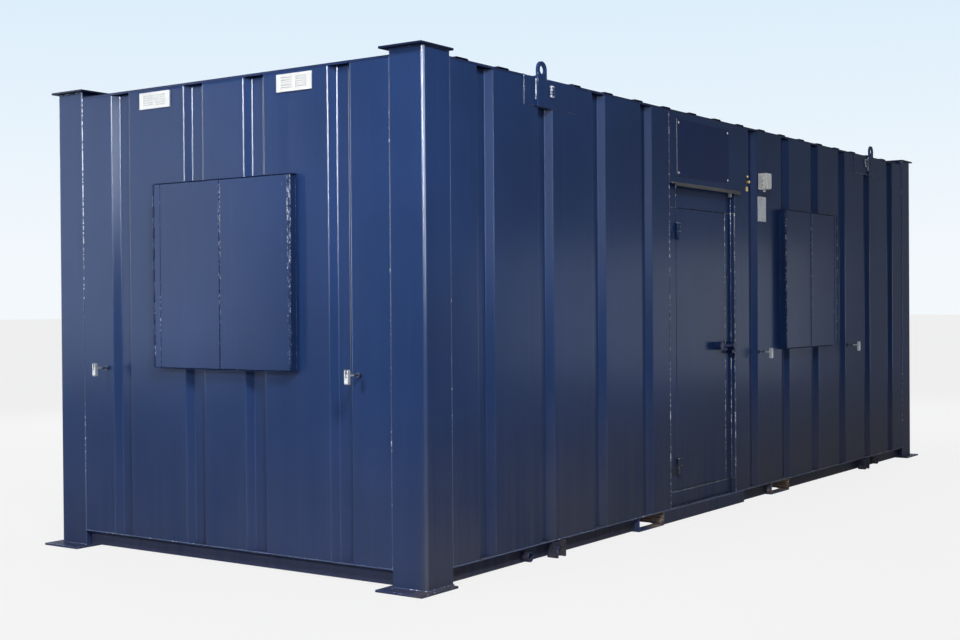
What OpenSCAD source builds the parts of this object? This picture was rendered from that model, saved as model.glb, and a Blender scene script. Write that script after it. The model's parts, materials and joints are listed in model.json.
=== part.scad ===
// Anti-vandal steel cabin: a portable site cabin with folded steel walls, one steel door,
// steel shutters over its two windows, lifting eyes and fork pockets.
// Millimetres. X runs along the length, the door side faces -Y, +Z is up, and the origin lies
// on the ground under the middle of the cabin.

/* [Overall] */
// Length over the corner posts
length = 7315; // [6500:5:9000]
// Width over the corner posts
width = 2743; // [2500:1:3200]
// Height of the underside of the top plates above the ground
post_top = 2677; // [2600:1:3000]

/* [Corners] */
// Face width of a corner post
post_w = 217; // [180:1:240]
// Steel thickness of a corner post
post_t = 5; // [3:0.5:8]
// Thickness of the base plates and top plates
plate_t = 12; // [8:1:20]
// Base plate size along the length
base_plate_x = 300; // [260:1:340]
// Base plate size across the width
base_plate_y = 290; // [260:1:340]
// How far a base plate stands out past the end wall
base_out_end = 97; // [80:1:120]
// How far a base plate stands out past the side wall
base_out_side = 40; // [20:1:60]
// Side of a square top plate
top_plate_w = 268; // [250:1:300]
// How far a top plate stands out past the end wall
top_out_end = 36; // [10:1:60]
// How far a top plate stands out past the side wall
top_out_side = 14; // [5:1:40]
// Diameter of the two anchor holes in each base plate
anchor_d = 22; // [14:1:30]
// Distance between the two anchor holes
anchor_gap = 160; // [100:1:200]

/* [Wall sheets] */
// Thickness of the folded wall sheets
sheet_t = 2; // [1.5:0.5:4]
// How far the wall sheets sit behind the post faces
wall_set = 3; // [1:0.5:8]
// Width of a rib at the outer face
rib_w = 150; // [120:1:180]
// Depth of a rib into the wall
rib_d = 36; // [25:1:50]
// Distance between ribs on the long sides
rib_pitch = 581; // [500:1:650]
// First rib of the long sides, from the window end
first_rib_left = 529; // [480:1:580]
// First rib of the long sides, from the blank end
first_rib_right = 546; // [480:1:580]
// Ribs between the window end and the door
left_ribs = 4; // [2:1:4]
// Ribs between the blank end and the door
right_ribs = 6; // [3:1:6]
// Distance of the inner ribs of an end wall from its middle
end_rib_inner = 229; // [200:1:260]
// Distance of the outer ribs of an end wall from its middle
end_rib_outer = 826; // [780:1:860]
// Height of the bottom edge of the wall sheets
wall_bottom = 98; // [90:1:110]
// Thickness of the insulated lining boards
lining_t = 42; // [25:1:60]

/* [Base frame] */
// Steel thickness of the rails
rail_t = 6; // [4:0.5:8]
// Width of the rail flanges
rail_flange = 60; // [40:1:80]
// Height of the top of the base rails
rail_top = 152; // [145:1:165]
// Height of a floor joist
joist_h = 100; // [80:1:110]
// Width of a floor joist
joist_w = 50; // [40:1:70]
// Distance between floor joists
joist_pitch = 600; // [500:1:700]
// Thickness of the floor deck
deck_t = 18; // [12:1:28]
// Centre of the first fork pocket along the length
pocket_1_x = -1340; // [-1500:1:-1340]
// Centre of the second fork pocket along the length
pocket_2_x = 672; // [600:1:900]
// Outside width of a fork pocket
pocket_w = 330; // [250:1:340]
// Outside height of a fork pocket
pocket_h = 90; // [80:1:90]
// Steel thickness of a fork pocket
pocket_t = 8; // [5:0.5:10]
// Depth of the straps under the mouths of a fork pocket
pocket_strap = 68; // [50:1:300]
// Left edge of the sill plate under the door
sill_left = -1171; // [-1174:1:-1090]
// Right edge of the sill plate under the door
sill_right = 31; // [-90:1:200]
// Weld gap between pieces of one welded frame
weld_gap = 0.5; // [0.2:0.1:0.9]

/* [Roof] */
// How far the roof sheet's seat lies below the top plates
roof_drop = 29; // [10:1:40]
// Height of the roof edge over the wall sheets
eaves_h = 12; // [9:1:60]
// Height of the roof's ridges
ridge_h = 8; // [5:1:20]
// Width of a roof ridge
ridge_w = 110; // [80:1:160]
// Distance between roof ridges
ridge_pitch = 370; // [250:1:500]
// How far the ceiling lies below the top plates
ceiling_drop = 177; // [140:1:220]
// Thickness of the ceiling board
ceiling_t = 30; // [12:1:40]

/* [Door] */
// Left edge of the door bay
bay_left = -1082; // [-1090:1:-1060]
// Right edge of the door bay
bay_right = -104; // [-130:1:-60]
// Height of the wall sheet over the door bay
header_h = 451; // [444:1:484]
// How far the door sits behind the wall sheet
door_recess = 30; // [20:1:34]
// Left edge of the door leaf
leaf_left = -929; // [-950:1:-900]
// Right edge of the door leaf
leaf_right = -204; // [-230:1:-190]
// Bottom of the door leaf
leaf_bottom = 200; // [196:1:220]
// Height of the door head over the leaf
head_h = 159; // [120:1:200]
// Thickness of the door leaf
leaf_t = 40; // [30:1:42]
// Radius of the free corners of the door leaf
leaf_round = 22; // [8:1:40]
// Gap around the door leaf and between shutter leaves
leaf_gap = 5; // [5:0.5:8]
// Width of the stop lip behind the door leaf
stop_lip = 15; // [10:1:25]
// Height of the lower hinge above the bottom of the leaf
hinge_low = 98; // [60:1:200]
// Depth of the upper hinge below the top of the leaf
hinge_high = 204; // [150:1:300]
// Distance of the lock's boss from the free edge of the leaf
lock_in = 157; // [100:1:200]
// Distance of the lock's keeper past the free edge of the leaf
lock_over = 49; // [45:1:60]
// Distance of the keep plates above and below the lock
keep_reach = 500; // [300:1:600]
// Height of the middle of the door lock
lock_z = 1120; // [900:1:1300]
// Distance that the lock stands out from the door
lock_out = 55; // [45:1:60]

/* [Shutters] */
// Width of a shutter box
shutter_w = 1008; // [900:2:1060]
// Height of the bottom of the shutter boxes
shutter_z = 1075; // [1000:1:1150]
// Distance of the top of the shutter boxes below the wall sheets' top edge
shutter_drop = 544; // [474:1:664]
// How far a closed shutter stands out from the post faces
shutter_out = 50; // [45:1:60]
// Depth of a shutter leaf
tray_d = 25; // [18:1:28]
// Width of the shutter frame's bars
shutter_bar = 45; // [35:1:60]
// Middle of the window in the door side
front_window_x = 1184; // [1150:1:1300]
// Middle of the window in the end wall, to the right of its middle
end_window_s = 20; // [-60:1:60]
// Width of the window frame's bars
window_bar = 50; // [40:1:70]
// Thickness of the glass
glass_t = 24; // [16:1:28]
// Radius of a shutter hinge knuckle
knuckle_r = 7; // [6:0.5:8]
// Knuckles in one shutter hinge
knuckle_count = 17; // [9:2:21]

/* [Catches] */
// Distance of the shutter catches below the shutter boxes
catch_drop = 15; // [15:1:50]
// Distance of the front catches from the middle of the window
catch_front = 888; // [870:1:900]
// Distance of the end catches from the middle of the end wall
catch_end = 950; // [940:1:1000]
// How far the pins of the catches stand out from the post faces
catch_out = 92; // [80:1:95]
// Length of a latch above its pin
latch_up = 30; // [22:1:36]
// Length of a latch below its pin
latch_down = 46; // [36:1:60]
// Thickness of a latch
latch_t = 18; // [14:0.5:18]
// Width of a latch along the wall
latch_w = 25; // [22:0.5:30]

/* [Fittings] */
// Width of a vent
vent_w = 242; // [200:1:280]
// Height of a vent
vent_h = 93; // [70:1:120]
// Distance of the vents below the wall sheets' top edge
vent_drop = 14; // [0:1:60]
// Distance between the slots of a vent
slot_pitch = 13; // [10:0.5:15]
// Length of a vent slot
slot_l = 76; // [50:1:90]
// Left edge of the isolator box
isolator_x = 300; // [290:1:400]
// Width of the isolator box
isolator_w = 82; // [60:1:120]
// Height of the isolator box
isolator_h = 114; // [80:1:140]
// Depth of the isolator box
isolator_d = 58; // [40:1:70]
// Distance of the isolator box above the top of the door bay
isolator_up = 40; // [20:1:80]
// Left edge of the cover plate
cover_x = 285; // [284:1:320]
// Width of the cover plate
cover_w = 140; // [100:1:160]
// Height of the cover plate
cover_h = 177; // [120:1:200]
// Place of the studs along the wall
studs_x = 100; // [20:1:110]

/* [Lifting and tie down] */
// Distance of the lifting eyes from the middle of the cabin
eye_x = 2606; // [2500:1:2700]
// Radius of the round top of a lifting eye
eye_r = 47; // [40:1:60]
// Diameter of the hole in a lifting eye
eye_hole_d = 48; // [30:1:56]
// Height of the hole in a lifting eye above the top plates' underside
eye_hole_up = 13; // [13:1:40]
// Thickness of a lifting eye
eye_t = 14; // [10:1:25]
// Thickness of the spreader plates under the lifting eyes
spreader_t = 5; // [4:0.5:12]
// How far the eyes and spreader plates reach below the top plates
spreader_drop = 187; // [160:1:230]
// Reach of a spreader plate from its eye towards the middle of the cabin
spreader_in = 363; // [300:1:400]
// Reach of a spreader plate from its eye towards the end of the cabin
spreader_out = 162; // [100:1:180]
// Distance of the tie-down lugs from the middle of the cabin
lug_x = 2454; // [2300:1:2600]
// Distance between the two plates of a lug
lug_gap = 68; // [40:1:90]
// Thickness of a lug plate
lug_t = 12; // [8:1:16]
// How far a lug stands out from the post faces
lug_out = 26; // [22:1:40]
// Diameter of the hole in a lug
lug_hole_d = 14; // [12:1:24]
// Distance of the rail tubes from the middle of the cabin
tube_x = 2745; // [2700:1:2900]
// Outside radius of a rail tube
tube_r = 27; // [20:1:28]

/* [Hidden] */

navy = "#27365f";
dark_navy = "#1c2848";
galvanised = "#b9bcbb";
$fn = 48;

// Inner ends of the walls, where they meet the posts
side_half = length / 2 - post_w;
end_half = width / 2 - post_w;
// Depths into a wall, measured from the post faces
rib_back = wall_set + rib_d + sheet_t;
lining_back = rib_back + lining_t;
rail_set = rib_back;
door_face = wall_set + door_recess;
// Heights
roof_seat = post_top - roof_drop;
wall_top = roof_seat - eaves_h;
ceiling_z = post_top - ceiling_drop;
shutter_h = wall_top - shutter_drop - shutter_z;
bay_top = wall_top - header_h;
leaf_top = bay_top - head_h;
eye_hole_z = post_top + eye_hole_up;
spreader_z = post_top - spreader_drop;
deck_top = rail_top + deck_t;
pocket_z = wall_bottom - pocket_h;
rail_tip = rail_set + rail_flange;
// Folds at 45 degrees: sideways shift of a fold line for each unit of sheet thickness
fold_k = tan(22.5);
side_rib_centres = concat(
    [for (i = [0:left_ribs - 1]) -length / 2 + first_rib_left + i * rib_pitch],
    [for (i = [right_ribs - 1:-1:0]) length / 2 - first_rib_right - i * rib_pitch]);
back_ribs = floor((length - first_rib_left - first_rib_right) / rib_pitch);
back_rib_centres = [for (i = [0:back_ribs]) (i - back_ribs / 2) * rib_pitch];
end_rib_centres = [-end_rib_outer, -end_rib_inner, end_rib_inner, end_rib_outer];
// Window openings
open_w = shutter_w - 2 * shutter_bar;
open_bottom = shutter_z + shutter_bar;
open_top = shutter_z + shutter_h - shutter_bar;
front_open_left = front_window_x - open_w / 2;
front_open_right = front_window_x + open_w / 2;
end_open_left = end_window_s - open_w / 2;
end_open_right = end_window_s + open_w / 2;
// Shutter leaves and hinges
tray_t = 3;
hinge_t = 3;
pin_r = 3.5;
run_clear = 0.3;
frame_out = shutter_out - tray_d - leaf_gap;
strip_w = 30;
strip_t = 4;
wing_w = 40;
knuckle_h = shutter_h / knuckle_count;
// Door frame
jamb_left = leaf_left - leaf_gap;
jamb_right = leaf_right + leaf_gap;
head_bottom = leaf_top + leaf_gap;
kick_top = leaf_bottom - leaf_gap;
lip_face = door_face + leaf_t + leaf_gap;
// Door hinges
hinge_r = 11;
hinge_pin_r = 6;
hinge_half = 54;
hinge_proud = 13;
hinge_plate_t = 6;
hinge_plate_w = 55;
hinge_zs = [leaf_bottom + hinge_low, leaf_top - hinge_high];
hinge_x = leaf_left - leaf_gap / 2;
hinge_depth = door_face - hinge_proud;
// Door lock
lock_leaf_x = leaf_right - lock_in;
lock_frame_x = leaf_right + lock_over;
lock_knob_r = 27;
lock_bar_r = 11;
lock_knob_t = 24;
// Shutter catches
catch_z = shutter_z - catch_drop;
stem_r = 6;
catch_pin_r = 3;
// Tie-down lugs
lug_bottom = 2;
lug_top = wall_bottom - rail_t;
lug_hole_z = (lug_bottom + lug_top) / 2;
lug_hole_in = 31;
// Roof
ridge_count = floor((2 * side_half - ridge_w) / ridge_pitch);
roof_ridges = [for (i = [0:ridge_count]) (i - ridge_count / 2) * ridge_pitch];

// Places its children on a wall, in a frame with x to the right as seen from outside,
// y into the wall from the post faces, and z up
module on_wall(side) {
    if (side == "front") translate([0, -width / 2, 0]) children();
    if (side == "back") translate([0, width / 2, 0]) rotate(180) children();
    if (side == "window_end") translate([-length / 2, 0, 0]) rotate(-90) children();
    if (side == "blank_end") translate([length / 2, 0, 0]) rotate(90) children();
}

// A box between two corners
module block(low, high) {
    translate(low) cube(high - low);
}

module at_corners() {
    for (sx = [-1, 1], sy = [-1, 1]) scale_signs(sx, sy) children();
}

// Mirrors its children into one of the four corners
module scale_signs(sx, sy) {
    mirror([sx < 0 ? 1 : 0, 0, 0]) mirror([0, sy < 0 ? 1 : 0, 0]) children();
}

// One side of a folded sheet: fold points of a row of ribs, moved by off along the depth
function fold_points(ribs, w, d, off) = [for (c = ribs) each [
    [c - w / 2 - fold_k * off, off],
    [c - w / 2 + d - fold_k * off, d + off],
    [c + w / 2 - d + fold_k * off, d + off],
    [c + w / 2 + fold_k * off, off]]];
function reversed(list) = [for (i = [len(list) - 1:-1:0]) list[i]];

// Section of a folded sheet between two ends
module sheet_section(x0, x1, ribs, w, d) {
    polygon(concat([[x0, 0]], fold_points(ribs, w, d, 0), [[x1, 0], [x1, sheet_t]],
        reversed(fold_points(ribs, w, d, sheet_t)), [[x0, sheet_t]]));
}

// A stretch of ribbed wall sheet, cut from the full wall between x0 and x1
module wall_sheet(half, ribs, x0, x1, z0, z1) {
    color(navy)
        translate([0, wall_set, z0])
            linear_extrude(z1 - z0)
                intersection() {
                    sheet_section(-half, half, ribs, rib_w, rib_d);
                    translate([x0, 0]) square([x1 - x0, rib_d + sheet_t]);
                }
}

// Four bars round a rectangle, as separate solids, from depth y0 to y1
module bar_frame(x0, x1, z0, z1, bar, y0, y1) {
    block([x0, y0, z0], [x0 + bar, y1, z1]);
    block([x1 - bar, y0, z0], [x1, y1, z1]);
    block([x0 + bar + weld_gap, y0, z0], [x1 - bar - weld_gap, y1, z0 + bar]);
    block([x0 + bar + weld_gap, y0, z1 - bar], [x1 - bar - weld_gap, y1, z1]);
}

// Corners and base frame
module base_plates() {
    color(dark_navy)
        at_corners()
            difference() {
                translate([length / 2 + base_out_end - base_plate_x,
                    width / 2 + base_out_side - base_plate_y, 0])
                    cube([base_plate_x, base_plate_y, plate_t]);
                for (s = [-1, 1])
                    translate([length / 2 + base_out_end / 2,
                        width / 2 + base_out_side - base_plate_y / 2 + s * anchor_gap / 2, -1])
                        cylinder(d = anchor_d, h = plate_t + 2);
            }
}

module top_plates() {
    color(navy)
        at_corners()
            translate([length / 2 + top_out_end - top_plate_w,
                width / 2 + top_out_side - top_plate_w, post_top])
                cube([top_plate_w, top_plate_w, plate_t]);
}

module corner_posts() {
    color(navy)
        at_corners()
            translate([length / 2 - post_w, width / 2 - post_w, plate_t])
                linear_extrude(post_top - plate_t)
                    difference() {
                        square(post_w);
                        translate([post_t, post_t]) square(post_w - 2 * post_t);
                    }
}

// Section of a base rail: a channel with a ledge that carries the wall sheet
module rail_section() {
    polygon([[wall_set, wall_bottom - rail_t], [rail_set, wall_bottom - rail_t], [rail_set, plate_t],
        [rail_tip, plate_t], [rail_tip, plate_t + rail_t], [rail_set + rail_t, plate_t + rail_t],
        [rail_set + rail_t, rail_top - rail_t], [rail_tip, rail_top - rail_t], [rail_tip, rail_top],
        [rail_set, rail_top], [rail_set, wall_bottom], [wall_set, wall_bottom]]);
}

module rail_length(x0, x1) {
    translate([x0, 0, 0])
        rotate([90, 0, 90])
            linear_extrude(x1 - x0) rail_section();
}

module base_rails() {
    pockets = [pocket_1_x, pocket_2_x];
    half = pocket_w / 2;
    color(dark_navy) {
        for (side = ["front", "back"], mir = side == "front" ? 1 : -1)
            on_wall(side) {
                low = min(mir * pockets[0], mir * pockets[1]);
                high = max(mir * pockets[0], mir * pockets[1]);
                rail_length(-side_half, low - half);
                rail_length(low + half, high - half);
                rail_length(high + half, side_half);
            }
        for (side = ["window_end", "blank_end"])
            on_wall(side) rail_length(-end_half, end_half);
    }
}

// Each pocket is a top and two cheeks that run right across the cabin, with a strap under each mouth
module fork_pockets() {
    y = width / 2 - wall_set;
    color("#4a4038")
        for (x = [pocket_1_x, pocket_2_x]) {
            left = x - pocket_w / 2;
            right = x + pocket_w / 2;
            block([left, -y, wall_bottom - pocket_t], [right, y, wall_bottom]);
            block([left, -y, pocket_z], [right, pocket_strap - y, pocket_z + pocket_t]);
            block([left, y - pocket_strap, pocket_z], [right, y, pocket_z + pocket_t]);
            block([left, -y, pocket_z + pocket_t + weld_gap],
                [left + pocket_t, y, wall_bottom - pocket_t - weld_gap]);
            block([right - pocket_t, -y, pocket_z + pocket_t + weld_gap],
                [right, y, wall_bottom - pocket_t - weld_gap]);
        }
}

module floor_joists() {
    count = floor((length - 2 * rail_tip - joist_w) / joist_pitch);
    y = width / 2 - rail_tip;
    clear = (pocket_w + joist_w) / 2;
    xs = [for (i = [0:count]) (i - count / 2) * joist_pitch];
    color("#2b2f38")
        for (x = xs)
            if (abs(x - pocket_1_x) > clear && abs(x - pocket_2_x) > clear)
                block([x - joist_w / 2, -y, rail_top - joist_h], [x + joist_w / 2, y, rail_top]);
}

// A board over the whole plan inside the sheets, notched round the posts
module plan_board(z0, z1) {
    difference() {
        block([-length / 2 + rib_back, -width / 2 + rib_back, z0],
            [length / 2 - rib_back, width / 2 - rib_back, z1]);
        at_corners()
            block([length / 2 - post_w, width / 2 - post_w, z0 - 1], [length / 2, width / 2, z1 + 1]);
    }
}

module floor_deck() {
    color("#8c7350") plan_board(rail_top, deck_top);
}

module ceiling() {
    color("#e4e2da") plan_board(ceiling_z, ceiling_z + ceiling_t);
}

// Wall sheets
module front_sheet(x0, x1, z0, z1) {
    on_wall("front") wall_sheet(side_half, side_rib_centres, x0, x1, z0, z1);
}

module end_sheet(x0, x1, z0, z1) {
    on_wall("window_end") wall_sheet(end_half, end_rib_centres, x0, x1, z0, z1);
}

module front_wall_left() {
    front_sheet(-side_half, bay_left, wall_bottom, wall_top);
}

module front_wall_over_door() {
    front_sheet(bay_left, bay_right, bay_top, wall_top);
}

module front_wall_middle() {
    front_sheet(bay_right, front_open_left, wall_bottom, wall_top);
}

module front_wall_over_window() {
    front_sheet(front_open_left, front_open_right, open_top, wall_top);
}

module front_wall_under_window() {
    front_sheet(front_open_left, front_open_right, wall_bottom, open_bottom);
}

module front_wall_right() {
    front_sheet(front_open_right, side_half, wall_bottom, wall_top);
}

module back_wall() {
    on_wall("back") wall_sheet(side_half, back_rib_centres, -side_half, side_half, wall_bottom, wall_top);
}

module window_end_wall_left() {
    end_sheet(-end_half, end_open_left, wall_bottom, wall_top);
}

module window_end_wall_right() {
    end_sheet(end_open_right, end_half, wall_bottom, wall_top);
}

module window_end_wall_over() {
    end_sheet(end_open_left, end_open_right, open_top, wall_top);
}

module window_end_wall_under() {
    end_sheet(end_open_left, end_open_right, wall_bottom, open_bottom);
}

module blank_end_wall() {
    on_wall("blank_end") wall_sheet(end_half, end_rib_centres, -end_half, end_half, wall_bottom, wall_top);
}

// A lining board that stands between the floor deck and the ceiling unless told otherwise
module board(x0, x1, z0 = deck_top, z1 = ceiling_z) {
    block([x0, rib_back, z0], [x1, lining_back, z1]);
}

module wall_lining() {
    g = weld_gap;
    color("#dcd9cf") {
        on_wall("front") {
            board(-side_half, bay_left);
            board(bay_left + g, bay_right - g, bay_top);
            board(bay_right, front_open_left);
            board(front_open_left + g, front_open_right - g, deck_top, open_bottom);
            board(front_open_left + g, front_open_right - g, open_top);
            board(front_open_right, side_half);
        }
        on_wall("window_end") {
            board(-end_half, end_open_left);
            board(end_open_left + g, end_open_right - g, deck_top, open_bottom);
            board(end_open_left + g, end_open_right - g, open_top);
            board(end_open_right, end_half);
        }
        on_wall("back") board(-side_half, side_half);
        on_wall("blank_end") board(-end_half, end_half);
    }
}

// Roof edge: an angle along the top of each wall
module top_rail(half) {
    translate([-half, 0, 0])
        rotate([90, 0, 90])
            linear_extrude(2 * half)
                polygon([[wall_set, wall_top], [wall_set + rail_t, wall_top],
                    [wall_set + rail_t, roof_seat - rail_t], [rail_tip, roof_seat - rail_t],
                    [rail_tip, roof_seat], [wall_set, roof_seat]]);
}

module top_rails() {
    color(dark_navy) {
        for (side = ["front", "back"]) on_wall(side) top_rail(side_half);
        for (side = ["window_end", "blank_end"]) on_wall(side) top_rail(end_half);
    }
}

module roof_sheet() {
    half = length / 2 - wall_set;
    color(dark_navy)
        difference() {
            translate([0, 0, roof_seat])
                rotate([90, 0, 0])
                    linear_extrude(width - 2 * wall_set, center = true)
                        sheet_section(-half, half, roof_ridges, ridge_w, ridge_h);
            at_corners()
                block([length / 2 - post_w, width / 2 - post_w, roof_seat - 1],
                    [length / 2, width / 2, roof_seat + ridge_h + sheet_t + 1]);
        }
}

// Door frame: two jambs and a head with a stop lip, a kick panel with its threshold, and the
// cheeks and soffit that close the recess above and below the jambs.
// Plan of a jamb from its outer edge to the leaf, with a cheek back to the wall sheet
module jamb_plan(outer, inner, cheek) {
    dir = sign(inner - outer);
    polygon([[outer, wall_set], [outer + dir * cheek, wall_set], [outer + dir * cheek, door_face],
        [inner, door_face], [inner, lip_face], [inner + dir * stop_lip, lip_face],
        [inner + dir * stop_lip, lining_back], [outer, lining_back]]);
}

module door_frame() {
    cheek = 4;
    jamb_h = head_bottom - weld_gap - kick_top;
    lip_gap = stop_lip + weld_gap;
    color(navy) on_wall("front") {
        translate([0, 0, kick_top]) linear_extrude(jamb_h) jamb_plan(bay_left, jamb_left, cheek);
        translate([0, 0, kick_top]) linear_extrude(jamb_h) jamb_plan(bay_right, jamb_right, cheek);
        block([bay_left, door_face, head_bottom], [bay_right, lining_back, bay_top]);
        for (x = [bay_left, bay_right - cheek]) {
            block([x, wall_set, wall_bottom], [x + cheek, door_face - weld_gap, kick_top - weld_gap]);
            block([x, wall_set, head_bottom], [x + cheek, door_face - weld_gap, bay_top]);
        }
        block([bay_left + cheek + weld_gap, wall_set, bay_top - cheek],
            [bay_right - cheek - weld_gap, door_face - weld_gap, bay_top]);
        block([jamb_left + lip_gap, lip_face, head_bottom - stop_lip],
            [jamb_right - lip_gap, lining_back, head_bottom]);
        translate([bay_left, 0, 0])
            rotate([90, 0, 90])
                linear_extrude(bay_right - bay_left)
                    polygon([[door_face, wall_bottom], [rail_set, wall_bottom], [rail_set, deck_top],
                        [lining_back, deck_top], [lining_back, kick_top - weld_gap],
                        [door_face, kick_top - weld_gap]]);
    }
}

// Lower halves of the lift-off door hinges, with their pins
module door_hinges() {
    color("#3a4258") on_wall("front")
        for (z = hinge_zs) {
            block([jamb_left - hinge_plate_w, door_face - hinge_plate_t, z],
                [jamb_left, door_face, z + hinge_half]);
            translate([hinge_x, hinge_depth, z]) cylinder(r = hinge_r, h = hinge_half);
            translate([hinge_x, hinge_depth, z]) cylinder(r = hinge_pin_r, h = 2 * hinge_half);
        }
}

// Upper halves of the door hinges, on the leaf
module door_straps() {
    color("#3a4258") on_wall("front")
        for (z = hinge_zs)
            translate([0, 0, z + hinge_half + run_clear])
                difference() {
                    union() {
                        block([leaf_left, door_face - hinge_plate_t, 0],
                            [leaf_left + hinge_plate_w, door_face, hinge_half]);
                        translate([hinge_x, hinge_depth, 0]) cylinder(r = hinge_r, h = hinge_half);
                    }
                    translate([hinge_x, hinge_depth, -1])
                        cylinder(r = hinge_pin_r + run_clear, h = hinge_half + 2);
                }
}

module door_leaf() {
    w = leaf_right - leaf_left;
    h = leaf_top - leaf_bottom;
    r = leaf_round;
    color(navy) on_wall("front")
        translate([leaf_left, door_face + leaf_t, leaf_bottom])
            rotate([90, 0, 0])
                linear_extrude(leaf_t) {
                    square([w - r, h]);
                    translate([0, r]) square([w, h - 2 * r]);
                    for (y = [r, h - r]) translate([w - r, y]) circle(r);
                }
}

// Lock: a boss on the leaf, a bar across the gap and a round head over the keeper
module door_lock() {
    tip = door_face - lock_out;
    color(dark_navy) on_wall("front") {
        translate([lock_leaf_x, door_face, lock_z])
            rotate([90, 0, 0])
                cylinder(r = lock_knob_r, h = lock_out);
        translate([lock_frame_x, tip + lock_knob_t, lock_z])
            rotate([90, 0, 0])
                cylinder(r = lock_knob_r, h = lock_knob_t);
        translate([lock_leaf_x, tip + lock_knob_t / 2, lock_z])
            rotate([0, 90, 0])
                cylinder(r = lock_bar_r, h = lock_frame_x - lock_leaf_x);
    }
}

module lock_keeper() {
    keeper_r = lock_knob_r - 4;
    staple_w = 36;
    staple_h = 22;
    staple_out = 40;
    staple_gap = 6;
    top = lock_z - lock_knob_r - staple_gap;
    color(dark_navy) on_wall("front") {
        translate([lock_frame_x, door_face, lock_z])
            rotate([90, 0, 0])
                cylinder(r = keeper_r, h = lock_out - lock_knob_t - leaf_gap);
        block([lock_frame_x - staple_w / 2, door_face - staple_out, top - staple_h],
            [lock_frame_x + staple_w / 2, door_face, top]);
    }
}

// Keep plates on the lock-side jamb
module jamb_keeps() {
    keep_w = 30;
    keep_h = 60;
    keep_t = 6;
    x = (jamb_right + bay_right) / 2;
    color(dark_navy) on_wall("front")
        for (s = [-1, 1])
            block([x - keep_w / 2, door_face - keep_t, lock_z + s * keep_reach - keep_h / 2],
                [x + keep_w / 2, door_face, lock_z + s * keep_reach + keep_h / 2]);
}

// A small door contact at the top of the lock-side jamb
module door_contact() {
    size = 30;
    proud = 18;
    inset = 12;
    top = bay_top - inset;
    right = bay_right - inset;
    color("#e4e4e0") on_wall("front")
        block([right - size, door_face - proud, top - size], [right, door_face, top]);
}

// Trim on the door side
// A rounded hood over the door: a quarter ring on the wall with a straight front lip
module drip_rail() {
    left_in = 52;
    right_over = 60;
    steel = 3;
    hood_r = 22;
    lip = 6;
    seat = 6;
    axis_z = bay_top + seat - hood_r;
    color("#3f444f") on_wall("front")
        translate([bay_left + left_in, wall_set, axis_z])
            rotate([90, 0, 90])
                linear_extrude(bay_right + right_over - bay_left - left_in) {
                    intersection() {
                        difference() {
                            circle(hood_r);
                            circle(hood_r - steel);
                        }
                        translate([-hood_r, 0]) square(hood_r);
                    }
                    translate([-hood_r, -lip]) square([steel, lip]);
                }
}

module sign_board() {
    left_gap = 107;
    right_gap = 93;
    up = 45;
    tall = 367;
    thick = 4;
    color("#232f52") on_wall("front")
        block([bay_left + left_gap, wall_set - thick, bay_top + up],
            [bay_right - right_gap, wall_set, bay_top + up + tall]);
}

module sill_plate() {
    color(navy) on_wall("front")
        block([sill_left, wall_set, plate_t], [sill_right, wall_set + rail_t, wall_bottom - rail_t]);
}

// Shutters: a bar frame on the wall, two leaves and their long hinges
module shutter_frame(x) {
    color(navy)
        bar_frame(x - shutter_w / 2, x + shutter_w / 2, shutter_z, shutter_z + shutter_h,
            shutter_bar, -frame_out, wall_set);
}

module front_shutter_frame() {
    on_wall("front") shutter_frame(front_window_x);
}

module end_shutter_frame() {
    on_wall("window_end") shutter_frame(end_window_s);
}

// Knuckles of one hinge line: every second one from the given first number
module knuckles(first, bore) {
    axial = 0.5;
    for (i = [first:2:knuckle_count - 1])
        translate([0, 0, shutter_z + i * knuckle_h + axial])
            difference() {
                union() {
                    cylinder(r = knuckle_r, h = knuckle_h - 2 * axial);
                    children();
                }
                if (bore > 0) translate([0, 0, -1]) cylinder(r = bore, h = knuckle_h + 2);
            }
}

// Fixed half of a left-hand hinge, drawn about its axis, with the leaf to the right
module hinge_fixed() {
    wing_out = shutter_out - knuckle_r - 1;
    x = knuckle_r - hinge_t;
    translate([-knuckle_r, -shutter_out, 0]) {
        translate([0, 0, shutter_z]) cylinder(r = pin_r, h = shutter_h);
        knuckles(0, 0) block([x, 0, 0], [x + hinge_t, shutter_out - wing_out + 1, knuckle_h - 1]);
        block([x, shutter_out - wing_out, shutter_z],
            [x + hinge_t, shutter_out + wall_set, shutter_z + shutter_h]);
    }
}

module hinge_pair(x) {
    translate([x - shutter_w / 2, 0, 0]) hinge_fixed();
    translate([x + shutter_w / 2, 0, 0]) mirror([1, 0, 0]) hinge_fixed();
}

module shutter_hinges() {
    color("#8d93a3") {
        on_wall("front") hinge_pair(front_window_x);
        on_wall("window_end") hinge_pair(end_window_s);
    }
}

// A left-hand leaf drawn from the shutter box's left edge: a tray open towards the wall,
// with a hinge wing on its face and a cover strip at its free edge
module leaf(strip) {
    free = shutter_w / 2 - leaf_gap / 2;
    top = shutter_z + shutter_h;
    axis_x = -knuckle_r;
    color(navy) {
        difference() {
            block([hinge_t, -shutter_out, shutter_z], [free, tray_d - shutter_out, top]);
            block([hinge_t + tray_t, tray_t - shutter_out, shutter_z + tray_t],
                [free - tray_t, tray_d - shutter_out + 1, top - tray_t]);
        }
        block([hinge_t - 1, -shutter_out - hinge_t, shutter_z], [hinge_t + wing_w, -shutter_out, top]);
        translate([axis_x, -shutter_out, 0])
            knuckles(1, pin_r + run_clear)
                block([0, -hinge_t, 0], [knuckle_r + hinge_t, 0, knuckle_h - 1]);
        if (strip)
            block([free - strip_w, -shutter_out - strip_t, shutter_z], [free, -shutter_out, top]);
    }
}

module left_leaf(x) {
    translate([x - shutter_w / 2, 0, 0]) leaf(true);
}

module right_leaf(x) {
    translate([x + shutter_w / 2, 0, 0]) mirror([1, 0, 0]) leaf(false);
}

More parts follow.
